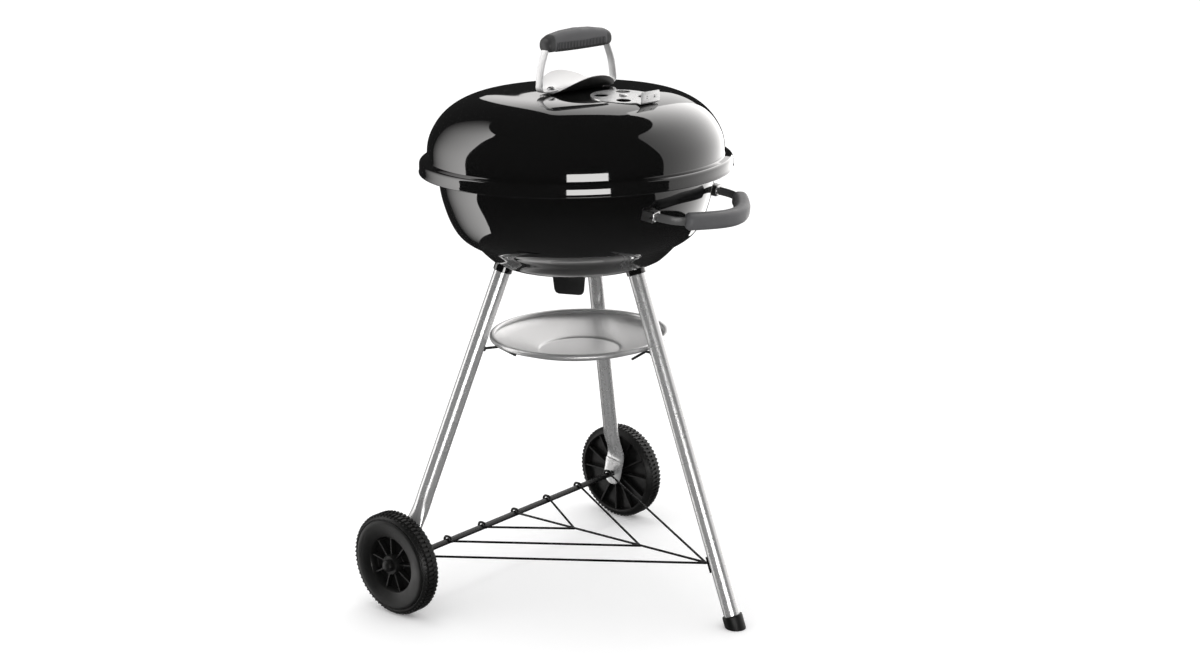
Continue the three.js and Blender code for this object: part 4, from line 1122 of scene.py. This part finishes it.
# ---- legs ----
legShape = {
    "radius": 12.7,
    "topHeight": 531,
    "front": {"reach": 304.8, "slope": 0.3523},
    "rear": {"reach": 124.5, "slope": 0.3943},
    "crush": 160,  # height where the rear tubes start to flatten
    "flatWidth": 37,
    "flatThick": 3.6,
    "flatX": 254,
    "capRadius": 15.8,
    "socketRadius": 14.9,
    "socketLength": 26,
}


def aboutZ(x, y, angle):
    c, s = math.cos(angle), math.sin(angle)
    return x * c - y * s, x * s + y * c


def frontLegPoint(z):
    return (0, -(legShape["front"]["reach"] - legShape["front"]["slope"] * z), z)


def rearLegPoint(side, z):
    reach = legShape["rear"]["reach"] + legShape["rear"]["slope"] * (legShape["topHeight"] - z)
    return (*aboutZ(0, -reach, side * 2 * math.pi / 3), z)


def makeLegs():
    r = legShape["radius"]
    low = Vector(frontLegPoint(0)) + (Vector(frontLegPoint(500)) - Vector(frontLegPoint(0))).normalized() * 7
    top = Vector(frontLegPoint(legShape["topHeight"]))
    length = (top - low).length
    tube = lathe("front_leg_tube", [(r, 0), (r, length), (r - 1.5, length), (r - 1.5, 0)], 64,
                 tubeFinish("front", top, low), axisPlace(low, top))
    settle(tube, "cart", "leg_steel", "leg_front")
    for side, word in ((-1, "left"), (1, "right")):
        makeRearLeg(side, word)
    for place, word in ((frontLegPoint, "front"), (lambda z: rearLegPoint(-1, z), "left"),
                        (lambda z: rearLegPoint(1, z), "right")):
        start, below = Vector(place(legShape["topHeight"])), Vector(place(300))
        along = (below - start).normalized()
        s, n = legShape["socketRadius"], legShape["socketLength"]
        sleeve = lathe("leg_sleeve_" + word,
                       [(0, 0.4), (s - 1, 0.4), (s, 1.4), (s, n + 14), (0, n + 14)], 64,
                       finish["black enamel"], axisPlace(start, start - along))
        trim(sleeve, [bowlSpace(0.35)])
        settle(sleeve, "cart", "vent_enamel", "leg_socket_" + word)


# Round tube that is pressed into a flat tongue round the axle.
def makeRearLeg(side, word):
    r, w, t = legShape["radius"], legShape["flatWidth"] / 2, legShape["flatThick"] / 2
    top, crush = Vector(rearLegPoint(side, legShape["topHeight"])), Vector(rearLegPoint(side,
                                                                                        legShape["crush"]))
    down = (crush - top).normalized()
    hub = Vector((side * legShape["flatX"], kettle["axleY"], kettle["axleZ"]))
    lean = math.atan2(8.4, 42.2)
    tongue = Vector((0, -math.sin(lean), math.cos(lean)))  # up the flat part
    neck = hub + tongue * 40
    tip = hub - tongue * 20
    across = Vector((0, tongue.z, -tongue.y))
    outward = Vector((side, 0, 0))
    count = 56

    def ring(centre, up, wide, thick, crease):
        x = (across - up * across.dot(up)).normalized()
        n = up.cross(x).normalized()
        if n.dot(outward) < 0:
            n = -n
        out = []
        for i in range(count):
            a = 2 * math.pi * i / count
            c, s = math.cos(a), math.sin(a)
            u = wide * math.copysign(abs(c) ** crease, c)
            v = thick * math.copysign(abs(s) ** crease, s)
            out.append(tuple(centre + x * u + n * v))
        return out

    bend = splineThrough([tuple(crush - down * 30), tuple(crush),
                          tuple(crush.lerp(neck, 0.5) + outward * 0.6),
                          tuple(neck), tuple(neck - tongue * 30)], 33)
    sections = [ring(top, -down, r, r, 1.0), ring(crush - down * 31, -down, r, r, 1.0)]
    for i in range(1, 30):
        p = Vector(bend[i])
        f = (i - 1) / 28
        f = f * f * (3 - 2 * f)
        up = (Vector(bend[max(i - 1, 0)]) - Vector(bend[min(i + 1, 32)])).normalized()
        sections.append(ring(p, up, r + (w - r) * f ** 0.8, r + (t - r) * f, 1.0 - 0.55 * f ** 3))
    for step in (0.35, 0.7):
        sections.append(ring(neck.lerp(hub, step), tongue, w, t, 0.42))
    for i in range(9):
        a = i * math.pi / 16
        sections.append(ring(hub + (tip - hub) * math.sin(a) * 0.995 * (1 if i else 0), tongue,
                             max(w * math.cos(a) ** 0.85, 3), t, 0.42))
    leg = loft("rear_leg_tube_" + word, sections, tubeFinish(word, top, crush), 40)
    bore = rodBetween("tool", (hub.x - 12, hub.y, hub.z), (hub.x + 12, hub.y, hub.z), 5.1, None, 40)
    trim(leg, [bore], 40)
    settle(leg, "cart", "leg_steel", "leg_" + word)


makeLegs()


def makeFootCap():
    top = Vector(frontLegPoint(400))
    low = Vector(frontLegPoint(0))
    up = (top - low).normalized()
    r, n = legShape["capRadius"], 20
    profile = [(0, -14), (r - 0.4, -14), (r, -13), (r, n - 3)]
    profile += [(r - 1.6 + 1.6 * math.cos(a), n - 1.6 + 1.6 * math.sin(a)) for a in
                [i * math.pi / 10 for i in range(6)]]
    profile += [(13.0, n), (13.0, 7), (0, 7)]
    cap = lathe("foot_cap", profile, 64, finish["wheel plastic"], axisPlace(low, low + up))
    floor = blockAt("tool", (90, 90, 60), (0, low.y, -30), None)
    trim(cap, [floor])
    bevel(cap, 0.8, 3, 50)
    settle(cap, "cart", "wheel_plastic", "front_foot_cap")


makeFootCap()
print("legs done")


# ---- ash pan ----
panShape = {"rim": 418.5, "radius": 141.5, "bead": 4.4, "sheet": 1.1, "offset": 1, "sides": 160}


def makePan():
    z, half = panShape["rim"], panShape["bead"]
    centre = panShape["radius"] - half
    under = [(centre - 1.2, -3.6), (127.5, -8.0), (115, -12.4), (100, -16), (84, -19.8),
             (72, -22.9),
             (67.5, -24.2), (66.2, -24.8), (64.6, -26.0), (63.2, -26.6), (60, -26.9), (30, -27.4),
             (0, -27.7)]
    over = inward(under, -panShape["sheet"])
    over = [(max(r, 0), h) for r, h in over]
    over[0] = (centre - 3.0, -2.4)
    over[-1] = (0, over[-1][1])
    roll = [(centre + half * math.cos(math.radians(a)), half * math.sin(math.radians(a)))
            for a in range(200, -96, -12)]
    profile = [(r, h + z) for r, h in over[::-1] + roll + under]
    pan = lathe("pan_shell", profile, panShape["sides"], finish["spun aluminium"],
                Matrix.Translation((0, panShape["offset"], 0)), 40)
    settle(pan, "pan", "aluminium", "ash_pan")


makePan()

clipShape = {"wire": 2, "height": 411.65, "bend": 133.5, "end": 106.5, "drop": 17, "knob": 4.6}


def makeClip(word, angle, legReach):
    line = [(legReach - 8.2, 0), (clipShape["bend"], 0), (clipShape["end"], -clipShape["drop"])]
    chain = [(*aboutZ(0, -n, angle), clipShape["height"] + h) for n, h in line]
    wire = wires("clip_wire_" + word, [chain], clipShape["wire"], 6, finish["black coating"], 18)
    start, end = Vector(chain[0]), Vector(chain[1])
    along = (end - start).normalized()
    k = clipShape["knob"]
    seat = start + along * 4.2
    knob = lathe("knob", [(2.0, 0), (k - 0.8, 0), (k, 0.8), (k, 2.4), (k - 1.2, 3.6), (2.0, 3.6)],
                 32,
                 finish["black coating"], axisPlace(seat, seat + along))
    whole = merge("pan_clip_wire_" + word, [wire, knob], finish["black coating"], 40)
    settle(whole, "cart", "black_wire", "pan_clip_" + word)


makeClip("front", 0, legShape["front"]["reach"] - legShape["front"]["slope"] * clipShape["height"])
for side, word in ((-1, "left"), (1, "right")):
    reach = legShape["rear"]["reach"] + legShape["rear"]["slope"] * (legShape["topHeight"] - clipShape["height"])
    makeClip(word, side * 2 * math.pi / 3, reach)
print("ash pan done")


# ---- axle and wire rack ----
rackShape = {
    "wire": 1.8,
    "hook": 2.05,
    "pitch": 80,
    "rearHeight": 84,
    "frontHeight": 93,
    "front": -258.2,
    "joints": {1: 20, 2: -118, 3: -249.2},
    "rearY": 142.95,
    "overZ": 90.15,
    "behindY": 158.25,
    "tailZ": 75.6,
}


def rackHeight(y):
    t = (rackShape["rearY"] - y) / (rackShape["rearY"] - rackShape["front"])
    return rackShape["rearHeight"] + (rackShape["frontHeight"] - rackShape["rearHeight"]) * t


def makeRack():
    axleHalf = boxHigh("axle").x
    axle = lathe("axle_rod",
                 [(0, -axleHalf), (4.2, -axleHalf), (4.7, -axleHalf + 0.6), (4.7, axleHalf - 0.6),
                              (4.2, axleHalf), (0, axleHalf)], 48, finish["wire enamel"],
                 axisPlace((0, kettle["axleY"], kettle["axleZ"]),
                           (1, kettle["axleY"], kettle["axleZ"])))
    settle(axle, "cart", "black_wire", "axle")
    hooks, rods = [], []
    for order in range(-3, 4):
        x = order * rackShape["pitch"]
        meet = rackShape["front"] + 1.5 if order == 0 else rackShape["joints"][abs(order)]
        drop = 0 if order == 0 else 0.8
        rear = (x, rackShape["rearY"], rackShape["rearHeight"])
        rods.append([(0, meet, rackHeight(meet) - drop), rear])
        hooks.append([(x, rackShape["rearY"], rackShape["rearHeight"] - 2.2),
                      (x, rackShape["rearY"], rackShape["overZ"]),
                      (x, rackShape["behindY"], rackShape["overZ"]),
                      (x, rackShape["behindY"], rackShape["tailZ"])])
    rods = wires("rack_rods", rods, rackShape["wire"], 3, finish["wire enamel"], 16)
    bent = wires("rack_hooks", hooks, rackShape["hook"], 5.5, finish["wire enamel"], 16)
    lean = math.atan(legShape["front"]["slope"])
    face = frontLegPoint(rackShape["frontHeight"])[1] + legShape["radius"] / math.cos(lean)
    place = Matrix.Translation((0, face, rackShape["frontHeight"])) @ Matrix.Rotation(-lean, 4, "X")
    plate = blockAt("plate", (14, 1.9, 25.6), (0, 1.35, 0), finish["wire enamel"], 0, place)
    bevel(plate, 0.6, 2)
    rack = merge("rack_wires", [rods, bent, plate], finish["wire enamel"], 40)
    settle(rack, "cart", "black_wire", "bottom_rack")


makeRack()
print("rack done")


# ---- grates ----
grateShape = {"ties": 60, "cooking": {"radius": 206, "z": 660, "bars": 13, "bar": 2, "rim": 3},
              "charcoal": {"radius": 168, "z": 579.5, "bars": 7, "bar": 2.5, "rim": 3}}


def makeGrate(name, node, body, shape):
    low, high = boxLow(node), boxHigh(node)
    reach = (high.x - low.x) / 2 - shape["rim"] - 0.3
    rimZ = low.z + shape["rim"] + 0.05
    pitch = 2 * reach / (shape["bars"] + 1)
    chains = []
    for i in range(shape["bars"]):
        x = -reach + pitch * (i + 1)
        half = math.sqrt(reach * reach - x * x)
        z = high.z - shape["bar"] - 0.05
        chains.append([(x, -half + 0.5, z), (x, half - 0.5, z)])
    bars = wires(name + "_bars", chains, shape["bar"], 1, finish["zinc plate"], 12)
    rim = lathe("rim",
                [(reach + shape["rim"] * math.cos(a), rimZ + shape["rim"] * math.sin(a)) for a in
                        [2 * math.pi * i / 16 for i in range(16)]], 120, finish["zinc plate"], None,
                40)
    ties = []
    for y in (-grateShape["ties"], grateShape["ties"]):
        half = math.sqrt(reach * reach - y * y)
        ties.append([(-half + 0.5, y, rimZ), (half - 0.5, y, rimZ)])
    ties = wires(name + "_ties", ties, shape["bar"], 1, finish["zinc plate"], 12)
    whole = merge(name, [bars, rim, ties], finish["zinc plate"], 40)
    settle(whole, body, "grate_steel", node)


makeGrate("cooking_wires", "cooking_grate", "upper_grate", grateShape["cooking"])
makeGrate("charcoal_wires", "charcoal_grate", "lower_grate", grateShape["charcoal"])
print("grates done")


# ---- wheels ----
wheelShape = {
    "radius": 82.2,
    "near": 259,
    "far": 292.4,
    "lugs": 68,
    "lugHeight": 2.1,
    "spokes": 9,
    "innerRibs": 12,
    "bore": 5.15,
}
overX = Matrix(((0, 0, 1, 0), (0, 1, 0, 0), (-1, 0, 0, 0), (0, 0, 0, 1)))  # lathe axis onto +X


def makeWheel(side, word):
    r, far, near = wheelShape["radius"], wheelShape["far"], wheelShape["near"]
    tread = r - wheelShape["lugHeight"]
    outline = [
        (wheelShape["bore"], near + 0.2), (14, near + 0.2), (15, near + 1.2), (15, near + 11),
               (68, near + 11),
        (69, near + 9), (69.6, near + 1.4), (70.8, near + 0.2), (73, near + 0.4),
               (tread - 1.4, near + 4.6),
        (tread, near + 6.6), (tread, far - 7.2), (tread - 0.8, far - 5.6), (tread - 2.6, far - 3.4),
        (75.2, far - 1.3), (74.4, far - 1.3), (73.6, far - 2.1), (72.8, far - 2.1),
               (72.0, far - 0.7),
        (70, far - 0.1), (66.5, far), (47.5, far - 2.8), (45.6, far - 3.6), (44.4, far - 5.2),
        (42.8, near + 18), (41.5, near + 17), (17.5, near + 17), (16.4, near + 18), (15.6, far - 3),
               (14.6, far - 1.2),
        (wheelShape["bore"], far - 1.2),
    ]
    body = lathe("wheel_body", outline, 128, finish["wheel plastic"], overX, 30)
    body.data.transform(Matrix.Translation((0, -kettle["y"] / 1000, 0)))
    rib = localMesh("rib", *boxPoints((near + 16.5, far - 6.5), (-1.1, 1.1), (14, 44.5)))
    spokes = ringOf(rib, wheelShape["spokes"], (1, 0, 0), finish["wheel plastic"])
    web = localMesh("rib", *boxPoints((near + 2.2, near + 11.5), (-1.1, 1.1), (14, 69.5)))
    webs = ringOf(web, wheelShape["innerRibs"], (1, 0, 0), finish["wheel plastic"])
    lugs = []
    mid = (near + 6.6 + far - 7.2) / 2
    pitch = 2 * math.pi / wheelShape["lugs"]
    for (a, b), turn in (((near + 6.9, mid - 0.5), 0.0), ((mid + 0.5, far - 7.4), 0.5)):
        w = tread * pitch * 0.31
        points, faces = boxPoints((a, b), (-w, w), (tread - 0.6, r))
        points = [(x, y * (0.86 if z > tread else 1), z) for x, y, z in points]
        lug = localMesh("lug", points, faces)
        lugs.append(ringOf(lug, wheelShape["lugs"], (1, 0, 0), finish["wheel plastic"],
                           pitch * turn))
    notch = localMesh("notch",
                      *boxPoints((far - 7.6, far - 3.6), (-1.1, 1.1), (tread - 3.2, tread - 0.1)))
    notches = ringOf(notch, wheelShape["lugs"], (1, 0, 0), finish["wheel plastic"], pitch * 0.5)
    whole = merge("wheel_" + word + "_moulding", [body, spokes, webs, *lugs, notches],
                  finish["wheel plastic"], 30)
    place = Matrix.Translation((0, (kettle["y"] + kettle["axleY"]) / 1000, kettle["axleZ"] / 1000))
    if side < 0:
        place = place @ Matrix.Rotation(math.pi, 4, "Z")
    whole.data.transform(place)
    settle(whole, "wheel_l" if side < 0 else "wheel_r", "wheel_plastic", "wheel_" + word)

    tip = boxHigh("axle_cap_right").x
    profile = [(0, tip), (3.5, tip - 0.15), (6.6, tip - 0.9), (8.6, tip - 2.2), (9.4, tip - 3.9),
               (9.4, far - 0.6),
               (5.2, far - 0.6), (5.2, far + 5.3), (0, far + 5.3)]
    cap = lathe("axle_end_" + word, profile, 48, finish["wheel plastic"], overX, 40)
    cap.data.transform(Matrix.Translation((0, -kettle["y"] / 1000, 0)))
    cap.data.transform(place)
    settle(cap, "cart", "wheel_plastic", "axle_cap_" + word)


def boxPoints(xs, ys, zs):
    points = [(x, y, z) for z in zs for y in ys for x in xs]
    faces = [[0, 2, 3, 1], [4, 5, 7, 6], [0, 1, 5, 4], [2, 6, 7, 3], [0, 4, 6, 2], [1, 3, 7, 5]]
    return points, faces


makeWheel(-1, "left")
makeWheel(1, "right")
print("wheels done")


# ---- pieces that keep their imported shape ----
keptFinish = {
    "zinc plate": ["lid_handle_nut_left", "lid_handle_nut_right", "bowl_damper_rivet", "rack_screw",
                   "wheel_washer_left", "wheel_washer_right", "grate_ledge_1", "grate_ledge_2",
                   "grate_ledge_3"],
}
for look, names in keptFinish.items():
    for name in names:
        kept = bpy.data.objects[name]
        if not kept.data.materials:
            kept.data.materials.append(finish[look])
        for i in range(len(kept.material_slots)):
            kept.material_slots[i].material = finish[look]


# ---- studio ----
studio = {
    "distance": 3.6,
    "left": {"mid": 197, "half": 24, "low": -38, "high": 50, "glow": 2.9, "from": 0.03, "to": 1.0},
    "right": {"mid": 65, "half": 47, "low": -27, "high": 55, "glow": 2.5, "from": 0.26, "to": 1.0},
    "back": {"mid": 124, "half": 17, "low": 13, "high": 57, "glow": 1.3, "from": 1.0, "to": 0.7},
    "front": {"mid": -41, "half": 15, "low": -14, "high": -2, "glow": 8.5, "from": 1.0, "to": 1.0},
    "world": 1.0,
    "mirrored": 0.016,
    "floorGlow": 0.1,
}


def aimAt(azimuth, elevation, distance):
    a, e = math.radians(azimuth), math.radians(elevation)
    return Vector((distance * math.cos(e) * math.sin(a),
                   -distance * math.cos(e) * math.cos(a) + kettle["y"] / 1000,
                   0.62 + distance * math.sin(e)))


def makeSoftbox(name, shape, corner=0.16, columns=32, rows=24):
    points, faces, glow = [], [], []
    for j in range(rows + 1):
        v = -1 + 2 * j / rows
        narrow = corner * max(0.0, (abs(v) - (1 - corner)) / corner)
        inset = corner - math.sqrt(max(0.0, corner * corner - narrow * narrow))
        for i in range(columns + 1):
            u = (-1 + 2 * i / columns) * (1 - inset)
            azimuth = shape["mid"] + u * shape["half"]
            elevation = (shape["low"] + shape["high"]) / 2 + v * (shape["high"] - shape["low"]) / 2
            points.append(tuple(aimAt(azimuth, elevation, studio["distance"])))
            f = (i / columns) ** 1.3
            glow.append(shape["from"] + (shape["to"] - shape["from"]) * f)
    for j in range(rows):
        for i in range(columns):
            k = j * (columns + 1) + i
            faces.append([k, k + 1, k + columns + 2, k + columns + 1])
    mesh = bpy.data.meshes.new(name)
    mesh.from_pydata(points, [], faces)
    mark = mesh.attributes.new("glow", "FLOAT", "POINT")
    mark.data.foreach_set("value", glow)
    light = bpy.data.materials.new(name + " cloth")
    light.use_nodes = True
    nodes, links = light.node_tree.nodes, light.node_tree.links
    nodes.clear()
    value = nodes.new("ShaderNodeAttribute")
    value.attribute_name = "glow"
    power = nodes.new("ShaderNodeMath")
    power.operation = "MULTIPLY"
    power.inputs[1].default_value = shape["glow"]
    shine = nodes.new("ShaderNodeEmission")
    shine.inputs["Color"].default_value = (1.0, 0.985, 0.975, 1)
    out = nodes.new("ShaderNodeOutputMaterial")
    links.new(value.outputs["Fac"], power.inputs[0])
    links.new(power.outputs[0], shine.inputs["Strength"])
    links.new(shine.outputs[0], out.inputs["Surface"])
    mesh.materials.append(light)
    box = bpy.data.objects.new(name, mesh)
    bpy.context.scene.collection.objects.link(box)
    box.visible_camera = False
    box.visible_diffuse = False
    box.visible_shadow = False


for name in ("left", "right", "back", "front"):
    makeSoftbox("softbox_" + name, studio[name], 0.02 if name == "front" else 0.16)


def makeFloor():
    size = 14
    mesh = bpy.data.meshes.new("studio_floor")
    mesh.from_pydata([(-size, -size, -0.0005), (size, -size, -0.0005), (size, size, -0.0005),
                      (-size, size, -0.0005)], [], [[0, 1, 2, 3]])
    paper = bpy.data.materials.new("white paper")
    paper.use_nodes = True
    nodes, links = paper.node_tree.nodes, paper.node_tree.links
    shader = nodes["Principled BSDF"]
    shader.inputs["Specular IOR Level"].default_value = 0.0
    smudge = groupNode(nodes, smudges, Scale=3.0, Low=0.85, High=0.95)
    links.new(smudge.outputs["Roughness"], shader.inputs["Roughness"])
    shader.inputs["Base Color"].default_value = (1.0, 1.0, 1.0, 1)
    shader.inputs["Emission Color"].default_value = (1.0, 0.985, 0.99, 1)
    shader.inputs["Emission Strength"].default_value = studio["floorGlow"]
    mesh.materials.append(paper)
    floor = bpy.data.objects.new("studio_floor", mesh)
    bpy.context.scene.collection.objects.link(floor)
    floor.visible_glossy = False


makeFloor()


def makeWorld():
    world = bpy.data.worlds.new("studio air")
    bpy.context.scene.world = world
    world.use_nodes = True
    nodes, links = world.node_tree.nodes, world.node_tree.links
    nodes.clear()
    path = nodes.new("ShaderNodeLightPath")
    place = nodes.new("ShaderNodeTexCoord")
    split = nodes.new("ShaderNodeSeparateXYZ")
    lower = nodes.new("ShaderNodeMapRange")
    lower.inputs["From Min"].default_value = -0.5
    lower.inputs["From Max"].default_value = -0.9
    lower.inputs["To Min"].default_value = studio["mirrored"]
    lower.inputs["To Max"].default_value = 0.07
    mix = nodes.new("ShaderNodeMix")
    mix.data_type = "FLOAT"
    mix.inputs[2].default_value = studio["world"]
    air = nodes.new("ShaderNodeBackground")
    out = nodes.new("ShaderNodeOutputWorld")
    links.new(place.outputs["Generated"], split.inputs[0])
    links.new(split.outputs["Z"], lower.inputs["Value"])
    links.new(path.outputs["Is Glossy Ray"], mix.inputs[0])
    links.new(lower.outputs[0], mix.inputs[3])
    air.inputs["Color"].default_value = (1, 1, 1, 1)
    links.new(mix.outputs[0], air.inputs["Strength"])
    links.new(air.outputs[0], out.inputs["Surface"])


makeWorld()

above = bpy.data.lights.new("overhead", "AREA")
above.shape = "RECTANGLE"
above.size, above.size_y = 1.4, 1.4
above.energy = 14
lamp = bpy.data.objects.new("overhead", above)
bpy.context.scene.collection.objects.link(lamp)
lamp.location = (0.2, 0.3, 3.0)
lamp.visible_glossy = False
bpy.context.scene.view_settings.view_transform = "Standard"

view = {"azimuth": -0.8551005, "yaw": -0.01048125, "pitch": 0.26812709, "roll": -0.01784035,
        "distance": 3.05222216, "height": 1.25955877, "lens": 60.226}


def makeCamera():
    a, p, roll = view["azimuth"] + view["yaw"], view["pitch"], view["roll"]
    ahead = Vector((-math.sin(a) * math.cos(p), math.cos(a) * math.cos(p), -math.sin(p)))
    right = Vector((math.cos(a), math.sin(a), 0))
    up = right.cross(ahead)
    right, up = (math.cos(roll) * right + math.sin(roll) * up,
                 -math.sin(roll) * right + math.cos(roll) * up)
    lens = bpy.data.cameras.new("camera")
    lens.lens = view["lens"]
    lens.sensor_width = 36
    camera = bpy.data.objects.new("camera", lens)
    bpy.context.scene.collection.objects.link(camera)
    place = Matrix((right, up, -ahead)).transposed().to_4x4()
    z = view["azimuth"]
    place.translation = Vector((view["distance"] * math.sin(z),
                                -view["distance"] * math.cos(z) + kettle["y"] / 1000,
                                view["height"]))
    camera.matrix_world = place
    bpy.context.scene.camera = camera


makeCamera()
print("studio ready")
